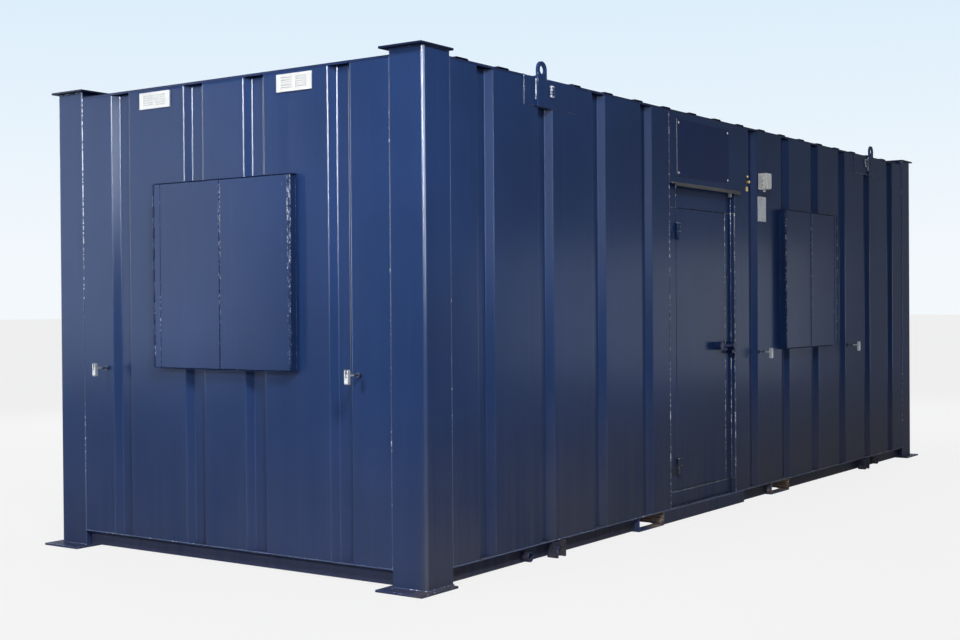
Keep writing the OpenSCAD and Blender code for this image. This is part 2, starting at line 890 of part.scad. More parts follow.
module front_shutter_left() {
    on_wall("front") left_leaf(front_window_x);
}

module front_shutter_right() {
    on_wall("front") right_leaf(front_window_x);
}

module end_shutter_left() {
    on_wall("window_end") left_leaf(end_window_s);
}

module end_shutter_right() {
    on_wall("window_end") right_leaf(end_window_s);
}

// Windows behind the shutters
module window_bars(x) {
    bar_frame(x - open_w / 2, x + open_w / 2, open_bottom, open_top, window_bar, wall_set, lining_back);
}

module window_pane(x) {
    w = open_w / 2 - window_bar;
    mid = (wall_set + lining_back) / 2;
    block([x - w, mid - glass_t / 2, open_bottom + window_bar],
        [x + w, mid + glass_t / 2, open_top - window_bar]);
}

module window_frames() {
    color("#f0f0ee") {
        on_wall("front") window_bars(front_window_x);
        on_wall("window_end") window_bars(end_window_s);
    }
}

module window_glass() {
    color("#9db4bf") {
        on_wall("front") window_pane(front_window_x);
        on_wall("window_end") window_pane(end_window_s);
    }
}

// Drop latches that hold the open shutters: a stem on the wall with a cross pin at its tip
module catch_stem() {
    boss_r = 13;
    boss_h = 14;
    color(galvanised) {
        translate([0, wall_set, catch_z])
            rotate([90, 0, 0]) {
                cylinder(r = boss_r, h = boss_h);
                cylinder(r = stem_r, h = wall_set + catch_out + stem_r);
            }
        translate([-latch_w / 2, -catch_out, catch_z])
            rotate([0, 90, 0])
                cylinder(r = catch_pin_r, h = latch_w);
    }
}

// A latch that hangs on the cross pin, forked above so that it can swing up in line with the stem
module catch_latch() {
    half = latch_t / 2;
    slot = 2 * stem_r + 1.5;
    slot_bottom = -sqrt(2) * stem_r - run_clear;
    color(galvanised)
        translate([0, -catch_out, catch_z])
            difference() {
                translate([-latch_w / 2, 0, 0])
                    rotate([90, 0, 90])
                        linear_extrude(latch_w)
                            difference() {
                                union() {
                                    translate([-half, half - latch_down])
                                        square([latch_t, latch_up + latch_down - latch_t]);
                                    translate([0, half - latch_down]) circle(half);
                                    translate([0, latch_up - half]) circle(half);
                                }
                                circle(catch_pin_r + run_clear);
                            }
                block([-slot / 2, -latch_t, slot_bottom], [slot / 2, latch_t, latch_up + 1]);
            }
}

module catch_bases() {
    on_wall("front")
        for (s = [-1, 1]) translate([front_window_x + s * catch_front, 0, 0]) catch_stem();
    on_wall("window_end")
        for (s = [-1, 1]) translate([s * catch_end, 0, 0]) catch_stem();
}

module front_catch_left() {
    on_wall("front") translate([front_window_x - catch_front, 0, 0]) catch_latch();
}

module front_catch_right() {
    on_wall("front") translate([front_window_x + catch_front, 0, 0]) catch_latch();
}

module end_catch_left() {
    on_wall("window_end") translate([-catch_end, 0, 0]) catch_latch();
}

module end_catch_right() {
    on_wall("window_end") translate([catch_end, 0, 0]) catch_latch();
}

// Lifting eyes and their spreader plates, two on each long side
module both_sides() {
    for (side = ["front", "back"], s = [-1, 1])
        on_wall(side) mirror([s < 0 ? 1 : 0, 0, 0]) children();
}

module lifting_eyes() {
    color(navy)
        both_sides()
            translate([eye_x, wall_set - spreader_t, 0])
                rotate([90, 0, 0])
                    linear_extrude(eye_t)
                        difference() {
                            union() {
                                translate([-eye_r, spreader_z]) square([2 * eye_r, eye_hole_z - spreader_z]);
                                translate([0, eye_hole_z]) circle(eye_r);
                            }
                            translate([0, eye_hole_z]) circle(d = eye_hole_d);
                        }
}

module spreader_plates() {
    stud_w = 18;
    stud_h = 50;
    stud_up = 70;
    stud_gap = 57;
    stud_z = spreader_z + stud_up;
    stud_x = eye_x - eye_r - stud_gap - stud_w;
    color(navy)
        both_sides() {
            block([eye_x - spreader_in, wall_set - spreader_t, spreader_z],
                [eye_x + spreader_out, wall_set, roof_seat]);
            block([stud_x, wall_set - spreader_t - eye_t, stud_z],
                [stud_x + stud_w, wall_set - spreader_t, stud_z + stud_h]);
        }
}

// Tie-down lugs: pairs of plates on the base rail, each with a hole
module tie_down_lugs() {
    color(dark_navy)
        both_sides()
            for (s = [-1, 1])
                translate([lug_x + s * (lug_gap + lug_t) / 2 - lug_t / 2, 0, 0])
                    rotate([90, 0, 90])
                        linear_extrude(lug_t)
                            difference() {
                                translate([-lug_out, lug_bottom])
                                    square([lug_out + rail_set, lug_top - lug_bottom]);
                                translate([lug_hole_in - lug_out, lug_hole_z]) circle(d = lug_hole_d);
                            }
}

module rail_tubes() {
    tube_z = 44;
    tube_t = 5;
    tube_out = 10;
    color(dark_navy)
        both_sides()
            translate([tube_x, rail_set, tube_z])
                rotate([90, 0, 0])
                    difference() {
                        cylinder(r = tube_r, h = rail_set + tube_out);
                        translate([0, 0, -1]) cylinder(r = tube_r - tube_t, h = rail_set + tube_out + 2);
                    }
}

// Fittings
module vent() {
    vent_t = 10;
    slots = 5;
    slot_h = 5;
    slot_d = 6;
    slot_apart = 24;
    top = wall_top - vent_drop;
    mid = top - vent_h / 2;
    difference() {
        block([-vent_w / 2, wall_set - vent_t, top - vent_h], [vent_w / 2, wall_set, top]);
        for (i = [0:slots - 1], s = [-1, 1])
            translate([s * (slot_l + slot_apart) / 2 - slot_l / 2, wall_set - vent_t - 1,
                mid + (i - (slots - 1) / 2) * slot_pitch - slot_h / 2])
                cube([slot_l, slot_d + 1, slot_h]);
    }
}

module vents() {
    vent_s = (end_rib_outer + end_rib_inner) / 2;
    color("#e9e9e6")
        for (side = ["window_end", "blank_end"], s = [-1, 1])
            on_wall(side) translate([s * vent_s, 0, 0]) vent();
}

module isolator_box() {
    lid = 10;
    inset = 4;
    gland_r = 9;
    gland_l = 18;
    stub_r = 10;
    mid_y = wall_set - isolator_d / 2;
    color("#d9d7cf") on_wall("front")
        translate([isolator_x, 0, bay_top + isolator_up]) {
            block([0, wall_set - isolator_d, 0], [isolator_w, wall_set, isolator_h]);
            block([inset, wall_set - isolator_d - lid, inset],
                [isolator_w - inset, wall_set - isolator_d, isolator_h - inset]);
            for (i = [1:3])
                translate([-gland_l, mid_y, i * isolator_h / 4])
                    rotate([0, 90, 0])
                        cylinder(r = gland_r, h = gland_l);
            translate([isolator_w / 2, mid_y, -gland_l]) cylinder(r = stub_r, h = gland_l);
        }
}

// A flat plate with a small oval knob
module cover_plate() {
    cover_t = 4;
    below_bay = 12;
    knob_r = 7;
    knob_l = 24;
    knob_out = 9;
    knob_down = 22;
    top = bay_top - below_bay;
    color(galvanised) on_wall("front") {
        block([cover_x, wall_set - cover_t, top - cover_h], [cover_x + cover_w, wall_set, top]);
        translate([cover_x + cover_w / 2, wall_set - cover_t, top - knob_down])
            rotate([90, 0, 0])
                linear_extrude(knob_out) {
                    square([knob_l - 2 * knob_r, 2 * knob_r], center = true);
                    for (s = [-1, 1]) translate([s * (knob_l / 2 - knob_r), 0]) circle(knob_r);
                }
    }
}

// A round stud, a longer earth stud under it and a small square plate at the bottom
module wall_studs() {
    stud_r = 8;
    stud_out = 10;
    stud_up = 115;
    earth_r = 10;
    earth_out = 22;
    earth_up = 77;
    tag_w = 32;
    tag_t = 3;
    tag_up = 13;
    color("#b08d4a") on_wall("front")
        translate([studs_x, wall_set, bay_top]) {
            translate([0, 0, stud_up]) rotate([90, 0, 0]) cylinder(r = stud_r, h = stud_out);
            translate([0, 0, earth_up]) rotate([90, 0, 0]) cylinder(r = earth_r, h = earth_out);
            block([-tag_w / 2, -tag_t, tag_up], [tag_w / 2, 0, tag_up + tag_w]);
        }
}

base_plates();
top_plates();
corner_posts();
base_rails();
fork_pockets();
floor_joists();
floor_deck();
front_wall_left();
front_wall_over_door();
front_wall_middle();
front_wall_over_window();
front_wall_under_window();
front_wall_right();
back_wall();
window_end_wall_left();
window_end_wall_right();
window_end_wall_over();
window_end_wall_under();
blank_end_wall();
wall_lining();
ceiling();
top_rails();
roof_sheet();
door_frame();
door_hinges();
lock_keeper();
jamb_keeps();
door_contact();
drip_rail();
sign_board();
sill_plate();
front_shutter_frame();
end_shutter_frame();
shutter_hinges();
window_frames();
window_glass();
catch_bases();
lifting_eyes();
spreader_plates();
tie_down_lugs();
rail_tubes();
vents();
isolator_box();
cover_plate();
wall_studs();
door_leaf();
door_straps();
door_lock();
front_shutter_left();
front_shutter_right();
end_shutter_left();
end_shutter_right();
front_catch_left();
front_catch_right();
end_catch_left();
end_catch_right();
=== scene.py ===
"""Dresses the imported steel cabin: wall sheets, posts, rims, welds, screws, paint and a studio."""

import json
import math

import bmesh
import bpy
from bpy.props import FloatProperty, FloatVectorProperty, IntProperty, PointerProperty
from mathutils import Matrix, Vector


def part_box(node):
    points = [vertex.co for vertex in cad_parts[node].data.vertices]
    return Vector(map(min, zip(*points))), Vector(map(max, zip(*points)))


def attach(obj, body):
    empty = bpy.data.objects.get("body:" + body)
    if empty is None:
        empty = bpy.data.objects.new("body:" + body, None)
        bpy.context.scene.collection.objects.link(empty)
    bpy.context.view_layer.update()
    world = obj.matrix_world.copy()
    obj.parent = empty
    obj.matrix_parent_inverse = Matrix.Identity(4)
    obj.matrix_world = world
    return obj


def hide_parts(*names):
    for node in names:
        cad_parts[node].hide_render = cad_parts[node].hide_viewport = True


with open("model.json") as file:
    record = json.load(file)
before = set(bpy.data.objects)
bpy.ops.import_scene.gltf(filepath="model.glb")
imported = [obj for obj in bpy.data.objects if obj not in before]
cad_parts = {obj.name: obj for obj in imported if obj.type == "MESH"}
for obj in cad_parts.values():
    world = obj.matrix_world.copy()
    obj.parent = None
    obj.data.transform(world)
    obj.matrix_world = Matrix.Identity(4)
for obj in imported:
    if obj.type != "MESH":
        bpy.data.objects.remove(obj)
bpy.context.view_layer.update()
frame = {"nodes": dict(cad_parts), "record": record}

bl_info = {
    "name": "Steel site cabin",
    "version": (1, 0, 0),
    "blender": (4, 5, 0),
    "location": "View3D > Sidebar > Cabin",
    "description": "Dresses the packed cabin with its sheets, welds, fasteners, paint and studio",
    "category": "Object",
}

CABIN = "cabin"

# Corners of the cabin over its posts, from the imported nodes
POST_LOW, POST_HIGH = (Vector(corner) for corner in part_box("corner_posts"))
HALF_LENGTH = POST_HIGH.x
HALF_WIDTH = POST_HIGH.y
POST_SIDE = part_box("front_wall_left")[0][0] - POST_LOW.x
POST_STEEL = 0.005

SHUTTER_FRAMES = {"front": "front_shutter_frame", "window_end": "end_shutter_frame"}


# Sizes and colours that a user would change


def length_prop(name, description, default):
    return FloatProperty(name=name, description=description, default=default, unit="LENGTH")


def angle_prop(name, description, degrees):
    return FloatProperty(name=name, description=description, default=math.radians(degrees),
                         subtype="ANGLE")


def colour_prop(name, description, default):
    return FloatVectorProperty(name=name, description=description, default=default,
                               subtype="COLOR", min=0, max=1)


class SheetSizes(bpy.types.PropertyGroup):
    """The folded wall sheets."""

    rib_width: length_prop("Rib width", "Width of a rib at the outer face", 0.150)
    rib_depth: length_prop("Rib depth", "Depth of a rib into the wall", 0.036)
    set_back: length_prop("Set back", "How far the sheets sit behind the posts", 0.003)
    thickness: length_prop("Thickness", "Steel thickness of the sheets", 0.002)
    fold_radius: length_prop("Fold radius", "Radius of the folds", 0.012)
    wave: length_prop("Wave", "Height of the sheets' slight waves", 0.0012)
    rows: IntProperty(name="Rows", description="Rows of faces up a sheet", default=36, min=2)


class TrimSizes(bpy.types.PropertyGroup):
    """Weld beads, fasteners, posts and rims."""

    bead_radius: length_prop("Bead radius", "Radius of a weld bead", 0.0042)
    bead_step: length_prop("Bead step", "Distance between the ripples of a bead", 0.008)
    screw_radius: length_prop("Screw radius", "Radius of a screw head", 0.005)
    post_corner: length_prop("Post corner", "Radius of a post's outermost corner", 0.017)
    post_edge: length_prop("Post edge", "Radius of a post's other corners", 0.006)
    rim_gap: length_prop("Rim gap", "Gap between the shutter leaves and the rims", 0.005)
    rim_steel: length_prop("Rim steel", "Thickness of the rims over and under the shutters", 0.003)
    rim_out: length_prop("Rim out", "How far the rims stand out from the post faces", 0.046)
    rim_over: length_prop("Rim over", "How far the rims run past the shutter frames", 0.014)
    edge_round: length_prop("Edge", "Rounding of cut and folded steel edges", 0.0015)


class FinishColours(bpy.types.PropertyGroup):
    """Colours of the cabin's finishes."""

    navy: colour_prop("Navy paint", "Paint of the walls, door and shutters", (0.02, 0.05, 0.16))
    frame_navy: colour_prop("Frame paint", "Duller paint of the base frame", (0.02, 0.038, 0.125))
    hood: colour_prop("Hood grey", "Grey of the door hood", (0.150, 0.146, 0.150))
    dust: colour_prop("Dust", "Dust low on the walls", (0.116, 0.105, 0.103))
    rust: colour_prop("Rust", "Rust of the worn fork pockets", (0.170, 0.082, 0.036))
    zinc: colour_prop("Zinc", "Galvanised steel", (0.56, 0.57, 0.58))


class StudioLook(bpy.types.PropertyGroup):
    """Camera, floor and light."""

    lens: FloatProperty(name="Lens", description="Focal length for a 36 mm sensor", default=52.45)
    eye: FloatVectorProperty(name="Eye", description="Place of the camera", subtype="TRANSLATION",
                             default=(-9.0727, -5.4896, 1.4062))
    yaw: angle_prop("Yaw", "Heading of the camera from +X", 35.014)
    pitch: angle_prop("Pitch", "Upward tilt of the camera", -0.596)
    roll: angle_prop("Roll", "Roll of the camera", 0.421)
    floor: colour_prop("Floor", "Colour of the floor", (0.38, 0.38, 0.38))
    floor_glow: FloatProperty(name="Floor glow", default=0.86, min=0, max=1,
                              description="Share of plain glow in the floor's look")
    sky: colour_prop("Sky", "Top of the backdrop", (0.72, 0.86, 0.97))
    haze: colour_prop("Haze", "Backdrop near the floor", (0.90, 0.94, 0.98))


def cabin_settings():
    return bpy.context.scene.cabin_settings


class CabinSettings(bpy.types.PropertyGroup):
    """All settings of the cabin."""

    sheets: PointerProperty(type=SheetSizes)
    trim: PointerProperty(type=TrimSizes)
    colours: PointerProperty(type=FinishColours)
    studio: PointerProperty(type=StudioLook)


# Node trees


class Value:
    """An output socket that takes part in Python expressions."""

    def __init__(self, graph, socket):
        self.graph = graph
        self.socket = socket

    def __getitem__(self, name):
        return Value(self.graph, self.socket.node.outputs[name])

    def math(self, operation, first, second):
        return self.graph.node("ShaderNodeMath", {0: first, 1: second}, operation=operation)

    def __add__(self, other):
        return self.math("ADD", self, other)

    def __radd__(self, other):
        return self.math("ADD", other, self)

    def __sub__(self, other):
        return self.math("SUBTRACT", self, other)

    def __rsub__(self, other):
        return self.math("SUBTRACT", other, self)

    def __mul__(self, other):
        return self.math("MULTIPLY", self, other)

    def __rmul__(self, other):
        return self.math("MULTIPLY", other, self)

    def __truediv__(self, other):
        return self.math("DIVIDE", self, other)

    def __rtruediv__(self, other):
        return self.math("DIVIDE", other, self)

    def __abs__(self):
        return self.math("ABSOLUTE", self, 0)

    def floor(self):
        return self.math("FLOOR", self, 0)

    def round(self):
        return self.math("ROUND", self, 0)

    def least(self, other):
        return self.math("MINIMUM", self, other)

    def most(self, other):
        return self.math("MAXIMUM", self, other)

    def above(self, other):
        return self.math("GREATER_THAN", self, other)

    def ramp(self, low, high):
        """0 at low, 1 at high, and smooth between them."""
        return self.graph.node("ShaderNodeMapRange", {
            "Value": self, "From Min": low, "From Max": high}, interpolation_type="SMOOTHSTEP")


class Graph:
    """A node tree that is built from expressions."""

    def __init__(self, tree):
        self.tree = tree

    def feed(self, target, value):
        """Gives a socket a link or a plain value."""
        if isinstance(value, Value):
            self.tree.links.new(value.socket, target)
        else:
            target.default_value = value

    def node(self, kind, sockets=None, **settings):
        """Adds a node: its settings first, then the values or links of its sockets."""
        made = self.tree.nodes.new(kind)
        for name, value in settings.items():
            setattr(made, name, value)
        for key, value in (sockets or {}).items():
            self.feed(pick(made.inputs, key), value)
        shown = [out for out in made.outputs if out.enabled]
        return Value(self, shown[0]) if shown else made


def pick(sockets, key):
    """A socket by number, or the shown one of that name."""
    if isinstance(key, int):
        return sockets[key]
    return next(socket for socket in sockets if socket.name == key and socket.enabled)


# Finishes


class Finish(Graph):
    """A material whose surface is one Principled shader."""

    def __init__(self, name, **constants):
        self.material = bpy.data.materials.new(name)
        self.material.use_nodes = True
        super().__init__(self.material.node_tree)
        self.tree.nodes.clear()
        self.shader = self.tree.nodes.new("ShaderNodeBsdfPrincipled")
        self.out = self.node("ShaderNodeOutputMaterial",
                             {"Surface": Value(self, self.shader.outputs[0])})
        self.place = self.node("ShaderNodeTexCoord")["Object"]
        axes = self.node("ShaderNodeSeparateXYZ", {0: self.place})
        self.x, self.y, self.z = axes["X"], axes["Y"], axes["Z"]
        for label, value in constants.items():
            self.shader.inputs[label.replace("_", " ")].default_value = value

    def surface(self, label, value):
        """Feeds one socket of the shader."""
        self.feed(self.shader.inputs[label], value)

    def noise(self, scale, detail=3, rough=0.5, stretch=(1, 1, 1)):
        """Noise from 0 to 1, with the pattern drawn out along the axes by stretch."""
        spot = self.node("ShaderNodeMapping", {"Vector": self.place, "Scale": stretch})
        return self.node("ShaderNodeTexNoise",
                         {"Vector": spot, "Scale": scale, "Detail": detail, "Roughness": rough})

    def mix(self, share, first, second):
        """Colours mixed by share."""
        ends = [(*end, 1) if isinstance(end, tuple) else end for end in (first, second)]
        return self.node("ShaderNodeMix", {"Factor": share, "A": ends[0], "B": ends[1]},
                         data_type="RGBA")

    def bump(self, height, depth, strength=1.0):
        """Feeds a relief of that depth in metres to the shader's normal."""
        self.surface("Normal", self.node("ShaderNodeBump", {
            "Height": height, "Distance": depth, "Strength": strength}))


def shade(colour, factor):
    return tuple(channel * factor for channel in colour)


# Tones of dark chips, pale flakes and near-white bare steel; the flakes and the bare steel also
# paint glints of light
CHIP_TONE = (0.20, 0.20, 0.22)
FLAKE_GLINT_TONE = (0.62, 0.66, 0.72)
BARE_GLINT_TONE = (0.80, 0.82, 0.86)
DUST_TOP = 1.10

# Bands along Y, where the front wall's face ends, and along X, where an end wall's face begins
FRONT_FACE = (-1.36, -1.30)
END_FACE = (3.57, 3.61)


def navy_finish(name, colour, dust_tone, gloss, wear, edges=()):
    """Sprayed paint on steel, with slow tone changes, rain streaks, dust low down and small chips.

    The edges are (axis, place, reach): lines at a place along X (0) or Y (1) where the paint has
    flaked off upright steel edges; the pale flakes, more of them higher up, also paint glints of
    light there."""
    paint = Finish(name, Specular_IOR_Level=0.008, Coat_Roughness=0.20)
    slow = paint.noise(0.9, 4)
    streak = paint.noise(1.0, 4, 0.6, (16, 16, 0.5))
    fine = paint.noise(38, 3, 0.6)
    tone = paint.mix(slow.ramp(0.30, 0.72), shade(colour, 0.86), shade(colour, 1.12))
    tone = paint.mix(streak.ramp(0.52, 0.78) * 0.18, tone, shade(colour, 1.6))
    low = 1 - paint.z.ramp(0.05, DUST_TOP)
    dust = low * (slow * 0.6 + streak * 0.4).ramp(0.22, 0.60) * (0.62 + 0.30 * wear)
    dust = dust * (1 - paint.y.ramp(*FRONT_FACE) * 0.58)
    tone = paint.mix(dust, tone, dust_tone)
    chip = paint.noise(26, 5, 0.62).ramp(0.735 - 0.03 * wear, 0.760 - 0.03 * wear)
    tone = paint.mix(chip * (0.35 + 0.35 * wear), tone, CHIP_TONE)
    if edges:
        # Pale flakes by upright edges, more of them higher up: worn paint, and painted glints of
        # light from above
        flake = (paint.noise(1, 3, 0.7, (150, 150, 56)) + paint.z * 0.12).ramp(0.74, 0.82)
        near = 0
        for axis, place, reach in edges:
            away = abs((paint.x, paint.y)[axis] - place)
            near = (1 - away.ramp(reach * 0.6, reach)).most(near)
        tone = paint.mix(near * flake, tone, FLAKE_GLINT_TONE)
    paint.surface("Base Color", tone)
    paint.surface("Roughness", (gloss + fine * 0.10 + dust * 0.5 + chip * 0.2).least(0.95))
    fold = paint.node("ShaderNodeAttribute", attribute_name="fold")["Fac"]
    high_on_end = abs(paint.x).ramp(*END_FACE) * (0.2 + paint.z.ramp(1.0, 1.9) * 0.8)
    paint.surface("Coat Weight", 0.08 + fold * (0.25 + high_on_end * 0.65))
    peel = paint.noise(220, 2)
    paint.bump(peel * 0.5 + fine * 0.9 - chip * 0.5, 0.0003, 0.6)
    return paint.material


def rubbed_finish(name, colour, share, scale, least):
    """Paint on edges, welds and hinges, rubbed through to steel in spots whose near-white tone is
    both wear and painted glints of light.

    The spots are thickest high on the far corner of the window end, where they paint the brightest
    glints."""
    steel = Finish(name, Specular_IOR_Level=0.05, Coat_Weight=0.10, Coat_Roughness=0.10)
    # A patch high on the far corner of the window end, where the bare spots paint the brightest
    # glints
    corner = steel.y.ramp(0.85, 1.15) * (1 - steel.x.ramp(-3.6, -3.2)) * steel.z.ramp(1.1, 2.0)
    patch = steel.noise(1.7, 3, 0.6).ramp(0.44, 0.64).most(corner)
    grain = steel.noise(scale, 2, 0.6) + corner * 0.15
    spot = grain.ramp(0.66 - 0.16 * share, 0.71 - 0.16 * share)
    bare = spot * (least + patch * (1 - least))
    steel.surface("Base Color", steel.mix(bare, colour, BARE_GLINT_TONE))
    steel.surface("Roughness", 0.34 + spot * 0.1)
    steel.surface("Metallic", bare * 0.2)
    steel.bump(spot, 0.0004, 0.5)
    return steel.material


def worn_finish(colours):
    """Paint worn through to rusty steel by fork tines."""
    steel = Finish("worn_pocket_steel", Specular_IOR_Level=0.3)
    patch = steel.noise(9, 6, 0.65)
    scrape = steel.noise(5, 4, 0.6, (18, 1, 18))
    rust = steel.mix(patch.ramp(0.35, 0.65), shade(colours.rust, 0.45), tuple(colours.rust))
    bare = steel.mix(scrape.ramp(0.45, 0.60), rust, (0.40, 0.32, 0.23))
    tone = steel.mix(steel.noise(3.2, 5, 0.6).ramp(0.42, 0.56), tuple(colours.frame_navy), bare)
    steel.surface("Base Color", tone)
    steel.surface("Roughness", 0.55 + patch * 0.3)
    steel.bump(patch, 0.0015, 0.6)
    return steel.material


def zinc_finish(name, colour, metal, rough, paint=None):
    """Galvanised steel with its spangle and a little white bloom.

    Where paint gives a colour, the steel close to the walls is painted over."""
    zinc = Finish(name)
    spangle = zinc.node("ShaderNodeTexVoronoi", {"Vector": zinc.place, "Scale": 90.0})
    grey = zinc.node("ShaderNodeRGBToBW", {0: spangle["Color"]})
    bloom = zinc.noise(30, 4).ramp(0.5, 0.75)
    tone = zinc.mix(grey, shade(colour, 0.75), shade(colour, 1.2))
    tone = zinc.mix(bloom * 0.35, tone, shade(colour, 1.18))
    shine = metal - bloom * metal * 0.6
    if paint:
        out = (abs(zinc.x) - HALF_LENGTH).most(abs(zinc.y) - HALF_WIDTH)
        bare = (out + zinc.noise(120, 2) * 0.016).ramp(0.050, 0.058)
        tone = zinc.mix(bare, paint, tone)
        shine = shine * bare
    zinc.surface("Base Color", tone)
    zinc.surface("Metallic", shine)
    zinc.surface("Roughness", rough + grey * 0.12 + bloom * 0.25)
    zinc.bump(grey, 0.0002, 0.4)
    return zinc.material


def moulded_finish(name, colour, rough):
    """Plain moulded plastic with a fine grain and a little grime."""
    plastic = Finish(name)
    grime = plastic.noise(14, 4).ramp(0.45, 0.8)
    plastic.surface("Base Color", plastic.mix(grime * 0.25, colour, shade(colour, 0.72)))
    plastic.surface("Roughness", rough + grime * 0.15)
    plastic.bump(plastic.noise(350, 2), 0.0002, 0.4)
    return plastic.material


def ply_finish():
    """Plywood deck: long grain with darker bands."""
    ply = Finish("floor_plywood")
    grain = ply.noise(6, 6, 0.65, (0.6, 14, 1))
    tone = ply.mix(grain.ramp(0.3, 0.7), (0.26, 0.17, 0.09), (0.50, 0.36, 0.21))
    ply.surface("Base Color", tone)
    ply.surface("Roughness", 0.55 + grain * 0.2)
    ply.bump(grain, 0.0006, 0.5)
    return ply.material


def board_finish():
    """Pale wall board with a faint mottle."""
    board = Finish("lining_board")
    mottle = board.noise(5, 4)
    board.surface("Base Color", board.mix(mottle, (0.66, 0.65, 0.60), (0.76, 0.75, 0.71)))
    board.surface("Roughness", 0.5 + mottle * 0.15)
    board.bump(board.noise(160, 2), 0.0003, 0.4)
    return board.material


def sign_finish():
    """A bare navy panel with pale cut edges."""
    panel = Finish("bare_sign_panel", Specular_IOR_Level=0.015)
    normal = panel.node("ShaderNodeNewGeometry")["Normal"]
    facing = panel.node("ShaderNodeSeparateXYZ", {0: normal})
    edge = 1 - abs(facing["Y"]).ramp(0.55, 0.75)
    mottle = panel.noise(2.2, 3)
    face = panel.mix(mottle, (0.016, 0.034, 0.125), (0.022, 0.044, 0.150))
    panel.surface("Base Color", panel.mix(edge, face, (0.55, 0.57, 0.60)))
    panel.surface("Roughness", 0.32 + mottle * 0.12)
    panel.bump(panel.noise(120, 2), 0.0001, 0.3)
    return panel.material


def glass_finish():
    """Window glass with faint dust."""
    glass = Finish("window_glass", Transmission_Weight=1.0, IOR=1.5)
    dust = glass.noise(6, 4).ramp(0.4, 0.8)
    glass.surface("Base Color", glass.mix(dust, (0.86, 0.92, 0.93), (0.74, 0.78, 0.78)))
    glass.surface("Roughness", 0.02 + dust * 0.08)
    return glass.material


def brass_finish():
    """Dull brass with brown tarnish."""
    brass = Finish("stud_brass")
    tarnish = brass.noise(60, 4).ramp(0.35, 0.7)
    brass.surface("Base Color", brass.mix(tarnish, (0.62, 0.45, 0.18), (0.30, 0.18, 0.07)))
    brass.surface("Metallic", 0.9 - tarnish * 0.5)
    brass.surface("Roughness", 0.35 + tarnish * 0.3)
    return brass.material


FINISHES = {}


def by_node(groups):
    """finish -> nodes turned into node -> finish."""
    return {node: finish for finish, nodes in groups.items() for node in nodes}


# Nodes that wear another finish than their slot's
OWN_FINISH = by_node({
    "flaked_hinges": ("shutter_hinges",),
    "hinge_paint": ("door_hinges", "door_straps"),
    # Top plates in a darker paint that paints the shade under them
    "plate_paint": ("top_plates",),
    "dull_zinc": ("cover_plate",),
    "flaked_paint": ("end_shutter_left", "end_shutter_right", "end_shutter_frame",
                     "front_shutter_left", "front_shutter_right"),
    "catch_zinc": ("catch_bases", "front_catch_left", "front_catch_right",
                   "end_catch_left", "end_catch_right"),
})

# Painted nodes whose edges take another finish than the default lighter rubbed one, or are rounded
# more; the lighter edge finishes paint highlights as well as wear
EDGE_FINISHES = by_node({
    "rubbed_hinges": ("shutter_hinges", "door_hinges", "door_straps"),
    "rubbed_door": ("door_leaf", "door_frame"),
    "plate_paint": ("top_rails", "roof_sheet", "top_plates"),
})
EDGE_SCALE = {"door_leaf": 3.0, "door_frame": 2.0, "door_hinges": 1.8, "door_straps": 1.8}

# Shutter edges with pale flakes that are both worn paint and painted glints: axis, node, its low
# (0) or high (1) side, and the flakes' reach
FLAKE_GLINT_EDGES = (
    (1, "end_shutter_left", 1, 0.008), (1, "end_shutter_right", 1, 0.007),
    (1, "end_shutter_right", 0, 0.006), (1, "end_shutter_frame", 0, 0.010),
    (0, "front_shutter_left", 0, 0.009), (0, "front_shutter_right", 0, 0.008),
    (0, "front_shutter_right", 1, 0.012),
)

# Hinge sides of the shutter leaves, how far the knuckles sit beside them, and the reach of the pale
# flakes that paint glints on the knuckles
HINGE_SIDES = ((1, "end_shutter_left", 1), (1, "end_shutter_right", 0),
               (0, "front_shutter_left", 0), (0, "front_shutter_right", 1))
KNUCKLE_OUT = 0.010
KNUCKLE_REACH = 0.014


